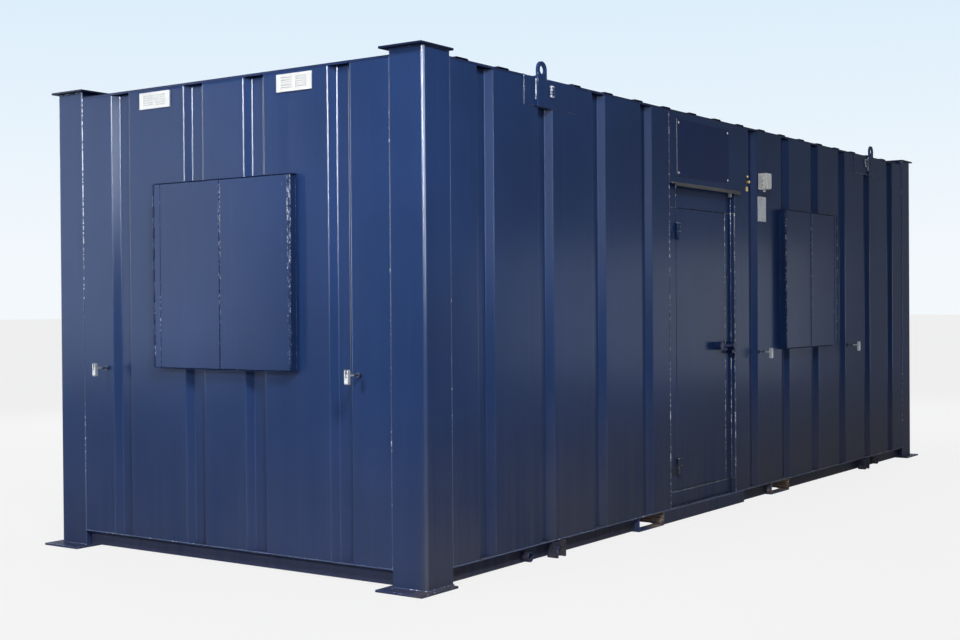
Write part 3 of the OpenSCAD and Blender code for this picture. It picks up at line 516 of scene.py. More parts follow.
def make_finishes():
    """One finish for each material slot of the record, by the slot's name, and some more."""
    colours = cabin_settings().colours
    navy, dark, dust = tuple(colours.navy), tuple(colours.frame_navy), tuple(colours.dust)
    zinc = tuple(colours.zinc)
    flaked = [(axis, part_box(node)[end][axis], reach) for axis, node, end, reach in FLAKE_GLINT_EDGES]
    knuckles = [(axis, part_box(node)[end][axis] + (2 * end - 1) * KNUCKLE_OUT, KNUCKLE_REACH)
                for axis, node, end in HINGE_SIDES]
    paints = {
        "navy_paint": (navy, dust, 0.36, 0.0),
        "flaked_paint": (navy, dust, 0.36, 0.0, flaked),
        "flaked_hinges": (shade(navy, 0.7), dust, 0.44, 0.6, knuckles),
        "frame_paint": (dark, dust, 0.44, 0.8),
        # Darker paint that paints the shade under the top plates; it also darkens the edges of the
        # top rails and roof
        "plate_paint": (shade(dark, 0.36), dust, 0.50, 0.8),
        "hinge_paint": (shade(navy, 0.7), dust, 0.44, 0.6),
    }
    rubbed = {
        # Lighter blues with near-white spots: wear, and painted highlights and glints on edges,
        # welds, hinges and the door
        "rubbed_edges": (shade(navy, 1.5), 0.45, 55, 0.10),
        # Seam welds in a lighter blue that paints the light they catch
        "rubbed_welds": ((0.095, 0.130, 0.245), 0.30, 60, 0.06),
        # Near-white beads that paint the highlights on the lifting eyes and their blocks
        "bare_welds": ((0.40, 0.42, 0.46), 1.3, 60, 0.80),
        # Hinge edges in a lighter blue with dense bright spots: wear, and painted glints
        "rubbed_hinges": (shade(navy, 1.6), 1.2, 60, 0.60),
        # Door edges and bay beads in a pale grey-blue: wear, and painted highlights
        "rubbed_door": ((0.120, 0.140, 0.200), 0.8, 42, 0.35),
    }
    moulded = {
        "window_plastic": ((0.80, 0.80, 0.79), 0.25),
        "vent_plastic": ((0.80, 0.80, 0.785), 0.42),
        "isolator_plastic": ((0.88, 0.87, 0.84), 0.40),
    }
    for make, looks in ((navy_finish, paints), (rubbed_finish, rubbed), (moulded_finish, moulded)):
        FINISHES.update({name: make(name, *values) for name, values in looks.items()})
    stem_paint = shade(dark, 0.4)
    FINISHES.update({
        "hood_grey": navy_finish("hood_paint", tuple(colours.hood), dust, 0.42, 0.2),
        "worn_steel": worn_finish(colours),
        "galvanised": zinc_finish("galvanised_steel", zinc, 0.85, 0.34),
        "dull_zinc": zinc_finish("dull_zinc", shade(zinc, 0.72), 0.30, 0.52),
        "catch_zinc": zinc_finish("catch_zinc", shade(zinc, 0.70), 0.40, 0.46, stem_paint),
        "floor_ply": ply_finish(),
        "lining_board": board_finish(),
        "sign_face": sign_finish(),
        "window_glass": glass_finish(),
        "stud_brass": brass_finish(),
    })


# Meshes


def add_object(name, data):
    """A new object in the scene, with that data."""
    obj = bpy.data.objects.new(name, data)
    bpy.context.scene.collection.objects.link(obj)
    return obj


def piece(name, bm, finish):
    """An object made from bm, in that finish."""
    mesh = bpy.data.meshes.new(name)
    bm.to_mesh(mesh)
    bm.free()
    mesh.materials.append(FINISHES[finish])
    return add_object(name, mesh)


def extent(points):
    """The lowest and highest corners round some points."""
    return [Vector(map(end, *points)) for end in (min, max)]


def node_tree(name, inputs):
    """An empty geometry tree with those inputs: label -> default, whole numbers for counts."""
    tree = bpy.data.node_groups.new(name, "GeometryNodeTree")
    tree.interface.new_socket("Geometry", in_out="INPUT", socket_type="NodeSocketGeometry")
    for label, default in inputs.items():
        kind = "NodeSocketInt" if isinstance(default, int) else "NodeSocketFloat"
        made = tree.interface.new_socket(label, in_out="INPUT", socket_type=kind)
        made.default_value = default
    tree.interface.new_socket("Material", in_out="INPUT", socket_type="NodeSocketMaterial")
    tree.interface.new_socket("Geometry", in_out="OUTPUT", socket_type="NodeSocketGeometry")
    graph = Graph(tree)
    return graph, graph.node("NodeGroupInput")


def close_tree(graph, start, geometry):
    """Ends a tree: instances made real, the material set."""
    real = graph.node("GeometryNodeRealizeInstances", {"Geometry": geometry})
    done = graph.node("GeometryNodeSetMaterial",
                      {"Geometry": real, "Material": start["Material"]})
    graph.node("NodeGroupOutput", {"Geometry": done})


def smooth_folds(obj):
    """Keeps the flats of a smooth piece flat."""
    obj.modifiers.new("Normals", "WEIGHTED_NORMAL")


def bake(name, tree, values, mesh=None, thickness=0):
    """An object whose plain mesh is the tree's result."""
    obj = add_object(name, mesh or bpy.data.meshes.new(name))
    modifier = obj.modifiers.new("Shape", "NODES")
    modifier.node_group = tree
    for item in tree.interface.items_tree:
        if item.in_out == "INPUT" and item.name in values:
            modifier[item.identifier] = values[item.name]
    if thickness:
        wall = obj.modifiers.new("Thickness", "SOLIDIFY")
        wall.thickness = thickness
        wall.offset = -1
        smooth_folds(obj)
    depsgraph = bpy.context.evaluated_depsgraph_get()
    done = obj.evaluated_get(depsgraph)
    result = bpy.data.meshes.new_from_object(done, depsgraph=depsgraph)
    obj.modifiers.clear()
    obj.data = result
    result.name = name
    return obj


def settle(obj, nodes=()):
    """Puts a finished piece on the cabin, in place of its nodes."""
    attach(obj, CABIN)
    if nodes:
        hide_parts(*nodes)


# Walls, each as a frame with x to the right seen from outside, y into the wall and z up
WALLS = {name: Matrix.Translation(spot) @ Matrix.Rotation(turn, 4, "Z") for name, spot, turn in (
    ("front", (0, -HALF_WIDTH, 0), 0),
    ("back", (0, HALF_WIDTH, 0), math.pi),
    ("window_end", (-HALF_LENGTH, 0, 0), -math.pi / 2),
    ("blank_end", (HALF_LENGTH, 0, 0), math.pi / 2))}

# Ribs of each wall: first centre, pitch, count, and where the row is broken and by how much
ROW_INPUTS = ("First Rib", "Rib Pitch", "Rib Count", "Break After", "Break")
RIBS = {
    "front": (-3.1285, 0.581, 10, 4, 1.011),
    "back": (-2.905, 0.581, 11, 11, 0.0),
    "window_end": (-0.826, 0.597, 4, 2, -0.139),
    "blank_end": (-0.826, 0.597, 4, 2, -0.139),
}

# Sheets of each wall, by the nodes that they stand for
SHEETS = {
    "front": ("front_wall_left", "front_wall_over_door", "front_wall_middle",
              "front_wall_over_window", "front_wall_under_window", "front_wall_right"),
    "back": ("back_wall",),
    "window_end": ("window_end_wall_left", "window_end_wall_right", "window_end_wall_over",
                   "window_end_wall_under"),
    "blank_end": ("blank_end_wall",),
}


def on_wall_box(wall, node):
    """A node's lowest and highest corners in its wall's frame."""
    back = WALLS[wall].inverted()
    return extent([back @ Vector(corner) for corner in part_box(node)])


def from_wall(wall, path):
    """A path given in a wall's frame, in the cabin's frame."""
    return [WALLS[wall] @ Vector(point) for point in path]


def islands(node):
    """Lowest and highest corners of each loose piece of a node."""
    bm = bmesh.new()
    bm.from_mesh(frame["nodes"][node].data)
    bmesh.ops.remove_doubles(bm, verts=bm.verts, dist=1e-5)
    bm.transform(frame["nodes"][node].matrix_world)
    left, found = set(bm.verts), []
    while left:
        group, stack = [], [left.pop()]
        while stack:
            vert = stack.pop()
            group.append(vert.co.copy())
            near = {edge.other_vert(vert) for edge in vert.link_edges} & left
            left -= near
            stack.extend(near)
        found.append(extent(group))
    bm.free()
    return sorted(found, key=lambda ends: tuple(ends[0]))


def sheet_tree():
    """A ribbed sheet: a folded line with rounded folds, drawn up into rows with slight waves."""
    graph, start = node_tree("Ribbed sheet", {
        "Left": -1.0, "Right": 1.0, "Bottom": 0.1, "Top": 2.6, "Rib Width": 0.15,
        "Rib Depth": 0.036, "Set Back": 0.003, "First Rib": 0.0, "Rib Pitch": 0.58, "Rib Count": 4,
        "Break After": 4, "Break": 0.0, "Fold Radius": 0.007, "Wave": 0.001, "Rows": 36,
        "Seed": 0.0})
    width, depth = start["Rib Width"], start["Rib Depth"]
    first, pitch, count = start["First Rib"], start["Rib Pitch"], start["Rib Count"]
    parted, gap = start["Break After"], start["Break"]

    # Four folds a rib, and the two ends of the sheet
    line = graph.node("GeometryNodeMeshLine", {"Count": count * 4 + 2})
    index = graph.node("GeometryNodeInputIndex")
    rib = ((index - 1) / 4).floor()
    corner = index - 1 - rib * 4
    centre = first + rib * pitch + (rib.above(parted - 0.5)) * gap
    inner = corner.above(0.5) * (2.5 - corner).above(0)
    side = corner.above(1.5) * 2 - 1
    fold = centre + side * (width / 2 - inner * depth)
    is_start = (0.5 - index).above(0)
    is_end = index.above(count * 4 + 0.5)
    along = fold * (1 - is_start) * (1 - is_end)
    along = along + is_start * start["Left"] + is_end * start["Right"]
    along = along.most(start["Left"]).least(start["Right"])

    def rib_away(place):
        """Distance from the middle of the nearest rib."""
        def group(low, high, shift):
            number = ((place - first - shift) / pitch).round().most(low).least(high)
            return abs(place - first - shift - number * pitch)
        unbroken = (parted + 0.5 - count).above(0) * 9
        return group(0, parted - 1, 0).least(group(parted, count - 1, gap) + unbroken)

    sunk = (width / 2 - rib_away(along)).most(0).least(depth)
    profile = graph.node("ShaderNodeCombineXYZ", {"X": along, "Y": start["Set Back"] + sunk})
    line = graph.node("GeometryNodeSetPosition", {"Geometry": line, "Position": profile})
    line = graph.node("GeometryNodeMergeByDistance", {"Geometry": line, "Distance": 0.0004})
    curve = graph.node("GeometryNodeMeshToCurve", {"Mesh": line})
    curve = graph.node("GeometryNodeFilletCurve", {
        "Curve": curve, "Radius": start["Fold Radius"], "Count": 4, "Limit Radius": True},
        mode="POLY")
    points = graph.node("GeometryNodeCurveToPoints", {"Curve": curve}, mode="EVALUATED")
    columns = graph.node("GeometryNodeAttributeDomainSize", {"Geometry": points},
                         component="POINTCLOUD")["Point Count"]

    # The line repeated up the wall
    rows = start["Rows"]
    grid = graph.node("GeometryNodeMeshGrid", {"Vertices X": columns, "Vertices Y": rows})
    column = (index / rows).floor()
    up = (index - column * rows) / (rows - 1)
    spot = graph.node("GeometryNodeSampleIndex", {
        "Geometry": points, "Value": graph.node("GeometryNodeInputPosition"), "Index": column},
        data_type="FLOAT_VECTOR", domain="POINT")
    axes = graph.node("ShaderNodeSeparateXYZ", {0: spot})
    height = start["Bottom"] + up * (start["Top"] - start["Bottom"])
    where = graph.node("ShaderNodeCombineXYZ",
                       {"X": axes["X"] * 1.6, "Y": start["Seed"], "Z": height * 1.1})
    wave = graph.node("ShaderNodeTexNoise", {"Vector": where, "Scale": 1.0, "Detail": 1.0})
    fade = (up * 8).least(1) * ((1 - up) * 8).least(1)
    fade = fade * ((axes["X"] - start["Left"]) * 12).least(1)
    fade = fade * ((start["Right"] - axes["X"]) * 12).least(1)
    dent = (wave - 0.5) * 2 * start["Wave"] * fade
    raised = graph.node("ShaderNodeCombineXYZ",
                        {"X": axes["X"], "Y": axes["Y"] + dent, "Z": height})
    away = rib_away(axes["X"])
    from_fold = abs(away - width / 2).least(abs(away - width / 2 + depth))
    on_fold = (start["Fold Radius"] * 0.26 - from_fold).above(0)
    grid = graph.node("GeometryNodeStoreNamedAttribute",
                      {"Geometry": grid, "Name": "fold", "Value": on_fold},
                      data_type="FLOAT", domain="POINT")
    grid = graph.node("GeometryNodeSetPosition", {"Geometry": grid, "Position": raised})
    grid = graph.node("GeometryNodeSetShadeSmooth", {0: grid, "Shade Smooth": True})
    close_tree(graph, start, grid)
    return graph.tree


def bead_tree():
    """Weld beads along the edges of a mesh: overlapping flattened ripples."""
    graph, start = node_tree("Weld bead", {"Radius": 0.004, "Step": 0.008, "Seed": 3})
    curve = graph.node("GeometryNodeMeshToCurve", {"Mesh": start["Geometry"]})
    points = graph.node("GeometryNodeCurveToPoints", {"Curve": curve, "Length": start["Step"]},
                        mode="LENGTH")
    ripple = graph.node("GeometryNodeMeshIcoSphere",
                        {"Radius": start["Radius"], "Subdivisions": 1})
    size = graph.node("FunctionNodeRandomValue", {
        "Min": (0.75, 0.75, 1.0), "Max": (1.15, 1.15, 1.5), "Seed": start["Seed"]},
        data_type="FLOAT_VECTOR")
    turn = graph.node("FunctionNodeAlignRotationToVector", {"Vector": points["Tangent"]}, axis="Z")
    beads = graph.node("GeometryNodeInstanceOnPoints", {
        "Points": points["Points"], "Instance": ripple, "Rotation": turn, "Scale": size})
    close_tree(graph, start, beads)
    return graph.tree


def screw_tree():
    """Domed screw heads on points that carry the way they face."""
    graph, start = node_tree("Screw heads", {"Radius": 0.005, "Seed": 5})
    facing = graph.node("GeometryNodeInputNamedAttribute", {"Name": "facing"},
                        data_type="FLOAT_VECTOR")
    turn = graph.node("FunctionNodeAlignRotationToVector", {"Vector": facing}, axis="Z")
    dome = graph.node("GeometryNodeMeshUVSphere",
                      {"Segments": 12, "Rings": 6, "Radius": start["Radius"]})
    flat = graph.node("GeometryNodeTransform", {"Geometry": dome, "Scale": (1, 1, 0.5)})
    washer = graph.node("GeometryNodeMeshCylinder", {
        "Vertices": 12, "Radius": start["Radius"] * 1.5, "Depth": start["Radius"] * 0.36})
    head = graph.node("GeometryNodeJoinGeometry", {"Geometry": flat})
    graph.tree.links.new(washer.socket, head.socket.node.inputs[0])
    size = graph.node("FunctionNodeRandomValue",
                      {"Min": 0.94, "Max": 1.06, "Seed": start["Seed"]}, data_type="FLOAT")
    heads = graph.node("GeometryNodeInstanceOnPoints", {
        "Points": start["Geometry"], "Instance": head, "Rotation": turn, "Scale": size})
    close_tree(graph, start, heads)
    return graph.tree


def path_mesh(name, paths):
    """A mesh of open polylines."""
    mesh = bpy.data.meshes.new(name)
    points, edges = [], []
    for path in paths:
        edges += [(len(points) + i, len(points) + i + 1) for i in range(len(path) - 1)]
        points += [tuple(p) for p in path]
    mesh.from_pydata(points, edges, [])
    return mesh


def spot_mesh(name, spots):
    """A mesh of loose points that carry the way they face."""
    mesh = bpy.data.meshes.new(name)
    mesh.from_pydata([tuple(point) for point, _ in spots], [], [])
    facing = mesh.attributes.new("facing", "FLOAT_VECTOR", "POINT")
    for item, (_, way) in zip(facing.data, spots):
        item.vector = way
    return mesh


def rounded_square(low, high, radii, steps):
    """Corner points of a rounded rectangle, anticlockwise from the corner at high."""
    corners = ((high[0], high[1], -1, -1), (low[0], high[1], 1, -1), (low[0], low[1], 1, 1),
               (high[0], low[1], -1, 1))
    return [(x + radius * (sx + math.cos((quarter + i / steps) * math.pi / 2)),
             y + radius * (sy + math.sin((quarter + i / steps) * math.pi / 2)))
            for quarter, ((x, y, sx, sy), radius) in enumerate(zip(corners, radii))
            for i in range(steps + 1)]


def bridge(bm, lower, upper, flip=False):
    """Faces between two rings of vertices."""
    count = len(lower)
    for i in range(count):
        ring = [lower[i], lower[(i + 1) % count], upper[(i + 1) % count], upper[i]]
        bm.faces.new(reversed(ring) if flip else ring)


# Sides of the four corners along X and Y
CORNERS = [(sx, sy) for sx in (-1, 1) for sy in (-1, 1)]


# Operators


class CABIN_OT_paint(bpy.types.Operator):
    """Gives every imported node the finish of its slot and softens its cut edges"""

    bl_idname = "cabin.paint"
    bl_label = "Paint the packed nodes"

    def execute(self, context):
        make_finishes()
        edge = cabin_settings().trim.edge_round
        for part in frame["record"]["subparts"]:
            obj = frame["nodes"][part["node"]]
            slot = part["material_slot"]
            finish = FINISHES[OWN_FINISH.get(part["node"], slot)]
            if not obj.material_slots:
                obj.data.materials.append(finish)
            for holder in obj.material_slots:
                holder.material = finish
            weld = obj.modifiers.new("Join", "WELD")
            weld.merge_threshold = 1e-5
            bevel = obj.modifiers.new("Edge", "BEVEL")
            bevel.width = edge * EDGE_SCALE.get(part["node"], 1)
            # Bevelled edges of painted nodes take a lighter rubbed finish: worn spots, and a
            # painted highlight line along the edge
            if slot in ("navy_paint", "frame_paint"):
                obj.data.materials.append(FINISHES[EDGE_FINISHES.get(part["node"], "rubbed_edges")])
                bevel.material = len(obj.material_slots) - 1
            bevel.segments = 2
            bevel.limit_method = "ANGLE"
            bevel.angle_limit = math.radians(40)
        return {"FINISHED"}


class CABIN_OT_wall_sheets(bpy.types.Operator):
    """Makes the ribbed wall sheets with rounded folds"""

    bl_idname = "cabin.wall_sheets"
    bl_label = "Wall sheets"

    def execute(self, context):
        sizes = cabin_settings().sheets
        tree = sheet_tree()
        folds = {"Rib Width": sizes.rib_width, "Rib Depth": sizes.rib_depth,
                 "Set Back": sizes.set_back, "Fold Radius": sizes.fold_radius,
                 "Wave": sizes.wave, "Rows": sizes.rows, "Material": FINISHES["navy_paint"]}
        for wall, names in SHEETS.items():
            row = dict(zip(ROW_INPUTS, RIBS[wall]))
            for number, node in enumerate(names):
                low, high = on_wall_box(wall, node)
                obj = bake("sheet_" + node, tree, {
                    "Left": low.x, "Right": high.x, "Bottom": low.z, "Top": high.z,
                    "Seed": float(number + len(wall)), **folds, **row}, thickness=sizes.thickness)
                if len(obj.data.polygons) == 0:
                    raise RuntimeError("No sheet was made for " + node)
                obj.data.transform(WALLS[wall])
                settle(obj, nodes=[node])
        return {"FINISHED"}


class CABIN_OT_posts(bpy.types.Operator):
    """Makes the corner posts as folded tubes with rounded corners"""

    bl_idname = "cabin.posts"
    bl_label = "Corner posts"

    def execute(self, context):
        trim = cabin_settings().trim
        steps = 6
        bm = bmesh.new()
        for sx, sy in CORNERS:
            xs = sorted((sx * HALF_LENGTH, sx * (HALF_LENGTH - POST_SIDE)))
            ys = sorted((sy * HALF_WIDTH, sy * (HALF_WIDTH - POST_SIDE)))
            outermost = ((1, 1), (-1, 1), (-1, -1), (1, -1)).index((sx, sy))
            radii = [trim.post_corner if i == outermost else trim.post_edge for i in range(4)]
            outer = rounded_square((xs[0], ys[0]), (xs[1], ys[1]), radii, steps)
            inner = rounded_square((xs[0] + POST_STEEL, ys[0] + POST_STEEL),
                                   (xs[1] - POST_STEEL, ys[1] - POST_STEEL),
                                   [radius - POST_STEEL for radius in radii], steps)
            rings = [[bm.verts.new((x, y, z)) for x, y in ring]
                     for ring in (outer, inner) for z in (POST_LOW.z, POST_HIGH.z)]
            bridge(bm, rings[0], rings[1])
            bridge(bm, rings[2], rings[3], flip=True)
            bridge(bm, rings[2], rings[0])
            bridge(bm, rings[1], rings[3])
        obj = piece("folded_posts", bm, "navy_paint")
        marks = obj.data.attributes.new("fold", "FLOAT", "POINT")
        for number, mark in enumerate(marks.data):
            mark.value = float(number % (steps + 1) not in (0, steps))
        obj.data.shade_smooth()
        smooth_folds(obj)
        settle(obj, nodes=["corner_posts"])
        return {"FINISHED"}


class CABIN_OT_shutter_rims(bpy.types.Operator):
    """Makes the thin rims over and under the shutter leaves"""

    bl_idname = "cabin.shutter_rims"
    bl_label = "Shutter rims"

    def execute(self, context):
        trim = cabin_settings().trim
        back = cabin_settings().sheets.set_back
        bm = bmesh.new()
        for wall, node in SHUTTER_FRAMES.items():
            low, high = on_wall_box(wall, node)
            for z in (low.z - trim.rim_gap - trim.rim_steel, high.z + trim.rim_gap):
                ring = rounded_square((-trim.rim_out, z), (back, z + trim.rim_steel),
                                      [trim.rim_steel * 0.4] * 4, 2)
                paths = [from_wall(wall, [(x, y, up) for y, up in ring])
                         for x in (low.x - trim.rim_over, high.x + trim.rim_over)]
                ends = [[bm.verts.new(point) for point in path] for path in paths]
                bridge(bm, *ends)
                for end in ends:
                    bm.faces.new(end)
        bmesh.ops.recalc_face_normals(bm, faces=bm.faces)
        settle(piece("shutter_rims", bm, "navy_paint"))
        return {"FINISHED"}


class CABIN_OT_welds(bpy.types.Operator):
    """Lays weld beads along the seams of the steelwork, in lighter tones that paint the light they
    catch
    """

    bl_idname = "cabin.welds"
    bl_label = "Weld beads"

    def execute(self, context):
        tree = bead_tree()
        self.lay("seam_welds", tree, self.sheet_seams())
        self.lay("fitting_welds", tree, self.fitting_seams())
        self.lay("bay_welds_and_highlights", tree, self.bay_seams(), finish="rubbed_door")
        self.lay("eye_highlight_beads", tree, self.eye_seams(), 1.6, "bare_welds")
        return {"FINISHED"}

    def lay(self, name, tree, paths, scale=1, finish="rubbed_welds"):
        trim = cabin_settings().trim
        obj = bake(name, tree, {"Radius": trim.bead_radius * scale, "Step": trim.bead_step * scale,
                                "Material": FINISHES[finish]}, mesh=path_mesh(name, paths))
        settle(obj)

    def sheet_seams(self):
        """Seams up both sides and along the bottom of each wall."""
        face = cabin_settings().sheets.set_back
        paths = []
        for wall, names in SHEETS.items():
            low, high = extent([end for name in names for end in on_wall_box(wall, name)])
            seams = [((x, face, low.z), (x, face, high.z)) for x in (low.x, high.x)]
            seams.append(((low.x, face, low.z), (high.x, face, low.z)))
            paths += [from_wall(wall, seam) for seam in seams]
        return paths

    def eye_seams(self):
        """Short seams up the sides of the lifting eyes and of the small blocks beside them, whose
        near-white beads paint the highlights on those sides.
        """
        weld_length, weld_drop = 0.10, 0.045
        eye_out, block_outs = 0.003, (0.004, 0.010)
        top = POST_HIGH.z - weld_drop
        paths = []
        for low, high in islands("lifting_eyes"):
            y = math.copysign(HALF_WIDTH + eye_out, low.y)
            paths += [[Vector((x, y, top - weld_length)), Vector((x, y, top))]
                      for x in (low.x, high.x)]
        blocks = [vertex.co for vertex in frame["nodes"]["spreader_plates"].data.vertices
                  if abs(vertex.co.y) > HALF_WIDTH + max(block_outs)]
        for sx, sy in CORNERS:
            low, high = extent([spot for spot in blocks if spot.x * sx > 0 and spot.y * sy > 0])
            paths += [[Vector((x, sy * (HALF_WIDTH + out), z)) for z in (low.z, high.z)]
                      for x in (low.x, high.x) for out in block_outs]
        return paths

    def bay_seams(self):
        """Seams round the door bay, and beads up its header above the leaf's sides that paint
        highlight lines along the jamb edges.
        """
        inset = 0.006
        low, high = on_wall_box("front", "door_frame")
        leaf_low, leaf_high = on_wall_box("front", "door_leaf")
        top = on_wall_box("front", "front_wall_over_door")[1].z
        face = cabin_settings().sheets.set_back
        seams = [[(low.x, face, low.z), (low.x, face, top)],
                 [(low.x, face, high.z), (high.x, face, high.z), (high.x, face, low.z)]]
        # Beads above the leaf's sides: painted highlight lines along the jamb edges
        seams += [[(x, leaf_low.y, leaf_high.z + inset), (x, leaf_low.y, high.z - inset)]
                  for x in (leaf_low.x - inset, high.x - inset)]
        return [from_wall("front", seam) for seam in seams]

    def fitting_seams(self):
        """Seams round the shutter boxes, the spreader plates and the posts' ends."""
        least_plate = 0.1
        face = cabin_settings().sheets.set_back
        paths = []
        for wall, node in SHUTTER_FRAMES.items():
            low, high = on_wall_box(wall, node)
            ring = [(low.x, low.z), (low.x, high.z), (high.x, high.z), (high.x, low.z)]
            paths.append(from_wall(wall, [(x, face, z) for x, z in (*ring, ring[0])]))
        for low, high in islands("spreader_plates"):
            if high.x - low.x > least_plate:
                y = math.copysign(HALF_WIDTH - face, low.y)
                line = (low.x, high.z), (low.x, low.z), (high.x, low.z), (high.x, high.z)
                paths.append([Vector((x, y, z)) for x, z in line])
        low, high = (HALF_LENGTH - POST_SIDE, HALF_WIDTH - POST_SIDE), (HALF_LENGTH, HALF_WIDTH)
        arc = rounded_square(low, high, [cabin_settings().trim.post_corner] * 4, 4)[:5]
        ring = [(high[0], low[1]), *arc, (low[0], high[1])]
        for sx, sy in CORNERS:
            for z in (POST_LOW.z, POST_HIGH.z):
                paths.append([Vector((sx * x, sy * y, z)) for x, y in ring])
        return paths


class CABIN_OT_screws(bpy.types.Operator):
    """Sets the small screws of the sign and the isolator"""

    bl_idname = "cabin.screws"
    bl_label = "Screw heads"

    def execute(self, context):
        outward = (0, -1, 0)
        spots = []
        # Each node's inset, and how far its glands stand out at its low sides
        for node, inset, glands in (("sign_board", 0.022, 0), ("isolator_box", 0.016, 0.018)):
            low, high = (Vector(corner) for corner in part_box(node))
            spots += [((x, low.y, z), outward) for x in (low.x + glands + inset, high.x - inset)
                      for z in (low.z + glands + inset, high.z - inset)]
        radius = cabin_settings().trim.screw_radius
        obj = bake("fitting_screws", screw_tree(),
                   {"Radius": radius, "Material": FINISHES["galvanised"]},
                   mesh=spot_mesh("fitting_screws", spots))
        settle(obj)
        return {"FINISHED"}


def seen_share(graph):
    """1 where the camera, a reflection or glass looks, and 0 where the surface only gives light."""
    ray = graph.node("ShaderNodeLightPath")
    return (ray["Is Camera Ray"] + ray["Is Glossy Ray"] + ray["Is Transmission Ray"]).least(1)


# Lamps that light the cabin, and cards that only show in its gloss: their place, target, size in
# metres, power in watts and spread in degrees
SOFTBOXES = {
    "key": ((-6.6, -4.6, 5.2), (-3.8, -1.1, 1.8), (1.2, 1.2), 95, 100),
    "end_key": ((-11.2, 0.8, 4.2), (-3.7, 0.0, 1.9), (0.7, 0.7), 255),
    "back_fill": ((2.0, 9.0, 5.0), (0.0, 1.4, 1.3), (5.0, 5.0), 400),
    "far_fill": ((10.5, 0.0, 4.5), (3.7, 0.0, 1.3), (2.4, 2.4), 230),
    "roof_fill": ((0.0, 0.0, 9.0), (0.0, 0.0, 2.6), (6.6, 2.2), 260),
}
CARDS = {
    "end_card": ((-9.5, 8.1, 2.55), (-3.7, 0.6, 1.9), (4.4, 4.0), 780),
    "fold_card": ((-11.2, 0.4, 3.9), (-3.7, -0.2, 2.3), (1.8, 1.7), 430),
    "low_fold_card": ((-11.2, 0.4, 2.65), (-3.7, -0.2, 1.9), (1.8, 0.8), 40),
    "rib_card": ((-5.2, -7.3, 2.8), (-2.0, -1.4, 1.9), (5.0, 2.4), 450),
    "end_rib_card": ((-11.8, -5.2, 3.5), (-3.7, 0.9, 2.3), (0.7, 1.8), 1150),
    "door_card": ((5.8, -5.4, 1.3), (-0.9, -1.4, 1.3), (3.8, 1.6), 92),
}
CARD_TINT = (0.82, 0.90, 1.00)
FLOOR_REACH = 150
SKY_LIGHT = (0.05, 0.054, 0.062)


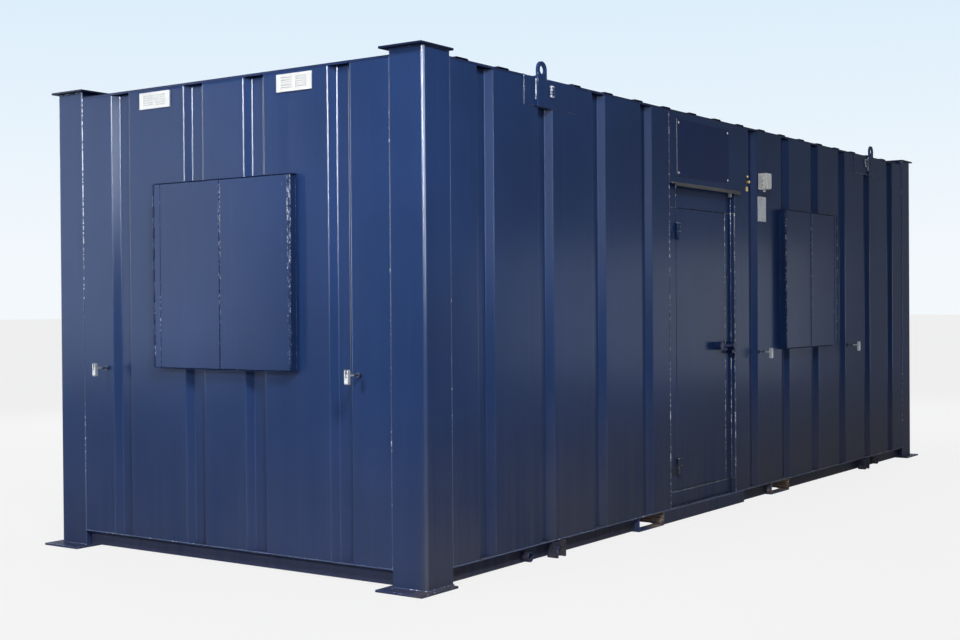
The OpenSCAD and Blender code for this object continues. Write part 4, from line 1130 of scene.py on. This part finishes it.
class CABIN_OT_studio(bpy.types.Operator):
    """Sets the camera, the pale floor, the backdrop and the soft light"""

    bl_idname = "cabin.studio"
    bl_label = "Studio"

    def execute(self, context):
        look = cabin_settings().studio
        self.camera(context, look)
        self.floor(look)
        self.backdrop(context, look)
        self.lamps()
        context.scene.view_settings.view_transform = "Standard"
        return {"FINISHED"}

    def camera(self, context, look):
        ahead = Vector((math.cos(look.yaw) * math.cos(look.pitch),
                        math.sin(look.yaw) * math.cos(look.pitch), math.sin(look.pitch)))
        right = Vector((math.sin(look.yaw), -math.cos(look.yaw), 0))
        down = ahead.cross(right)
        turned_right = right * math.cos(look.roll) + down * math.sin(look.roll)
        turned_down = down * math.cos(look.roll) - right * math.sin(look.roll)
        axes = Matrix((turned_right, -turned_down, -ahead)).transposed()
        lens = bpy.data.cameras.new("photo_view")
        lens.sensor_fit = "HORIZONTAL"
        lens.sensor_width = 36
        lens.lens = look.lens
        lens.clip_end = 500
        eye = add_object("photo_view", lens)
        eye.matrix_world = Matrix.Translation(look.eye) @ axes.to_4x4()
        context.scene.camera = eye

    def floor(self, look):
        """A pale floor that glows a little for the camera and still takes the cabin's shadow."""
        ground = Finish("pale_floor", Specular_IOR_Level=0.1, Roughness=0.8)
        mottle = ground.noise(0.4, 4)
        ground.surface("Base Color", ground.mix(mottle, shade(look.floor, 0.97), tuple(look.floor)))
        glow = ground.node("ShaderNodeEmission",
                           {"Color": (0.99, 0.99, 0.99, 1), "Strength": 1.0})
        lit = ground.node("ShaderNodeMixShader", {
            0: seen_share(ground) * look.floor_glow, 1: Value(ground, ground.shader.outputs[0]),
            2: glow})
        ground.tree.links.new(lit.socket, ground.out.inputs["Surface"])
        mesh = bpy.data.meshes.new("floor")
        mesh.from_pydata([(x * FLOOR_REACH, y * FLOOR_REACH, 0)
                          for x, y in ((-1, -1), (1, -1), (1, 1), (-1, 1))], [], [(0, 1, 2, 3)])
        mesh.materials.append(ground.material)
        add_object("floor", mesh)

    def backdrop(self, context, look):
        """A pale sky where it is seen, which gives only a little light."""
        world = bpy.data.worlds.new("backdrop")
        context.scene.world = world
        world.use_nodes = True
        sky = Graph(world.node_tree)
        sky.tree.nodes.clear()
        way = sky.node("ShaderNodeTexCoord")["Generated"]
        up = sky.node("ShaderNodeSeparateXYZ", {0: way})["Z"]
        shown = sky.node("ShaderNodeMix", {
            "Factor": up.ramp(0.0, 0.24), "A": (*look.haze, 1), "B": (*look.sky, 1)},
            data_type="RGBA")
        light = sky.node("ShaderNodeMix", {
            "Factor": seen_share(sky), "A": (*SKY_LIGHT, 1), "B": shown}, data_type="RGBA")
        glow = sky.node("ShaderNodeBackground", {"Color": light, "Strength": 1.0})
        sky.node("ShaderNodeOutputWorld", {"Surface": glow})

    def lamps(self):
        for name, values in SOFTBOXES.items():
            self.softbox(name, *values)
        for name, values in CARDS.items():
            card = self.softbox(name, *values)
            card.visible_diffuse = False
            card.data.color = CARD_TINT

    def softbox(self, name, spot, target, size, power, spread=180):
        lamp = bpy.data.lights.new(name, "AREA")
        lamp.energy = power
        lamp.shape = "RECTANGLE"
        lamp.size, lamp.size_y = size
        lamp.spread = math.radians(spread)
        obj = add_object(name, lamp)
        obj.location = spot
        obj.rotation_euler = (Vector(spot) - Vector(target)).to_track_quat("Z", "Y").to_euler()
        return obj


STEPS = (CABIN_OT_studio, CABIN_OT_paint, CABIN_OT_wall_sheets, CABIN_OT_posts,
         CABIN_OT_shutter_rims, CABIN_OT_welds, CABIN_OT_screws)


class CABIN_PT_sidebar(bpy.types.Panel):
    """The cabin's settings and steps"""

    bl_idname = "CABIN_PT_sidebar"
    bl_label = "Steel cabin"
    bl_space_type = "VIEW_3D"
    bl_region_type = "UI"
    bl_category = "Cabin"

    def draw(self, context):
        settings = cabin_settings()
        for group in (settings.sheets, settings.trim, settings.colours, settings.studio):
            box = self.layout.box()
            for name in group.__annotations__:
                box.prop(group, name)
        for step in STEPS:
            self.layout.operator(step.bl_idname)


CLASSES = (SheetSizes, TrimSizes, FinishColours, StudioLook, CabinSettings, *STEPS,
           CABIN_PT_sidebar)


def register():
    for item in CLASSES:
        bpy.utils.register_class(item)
    bpy.types.Scene.cabin_settings = PointerProperty(type=CabinSettings)


def unregister():
    del bpy.types.Scene.cabin_settings
    for item in reversed(CLASSES):
        bpy.utils.unregister_class(item)


def main():
    register()
    for step in STEPS:
        group, name = step.bl_idname.split(".")
        getattr(getattr(bpy.ops, group), name)()


if __name__ == "__main__":
    main()
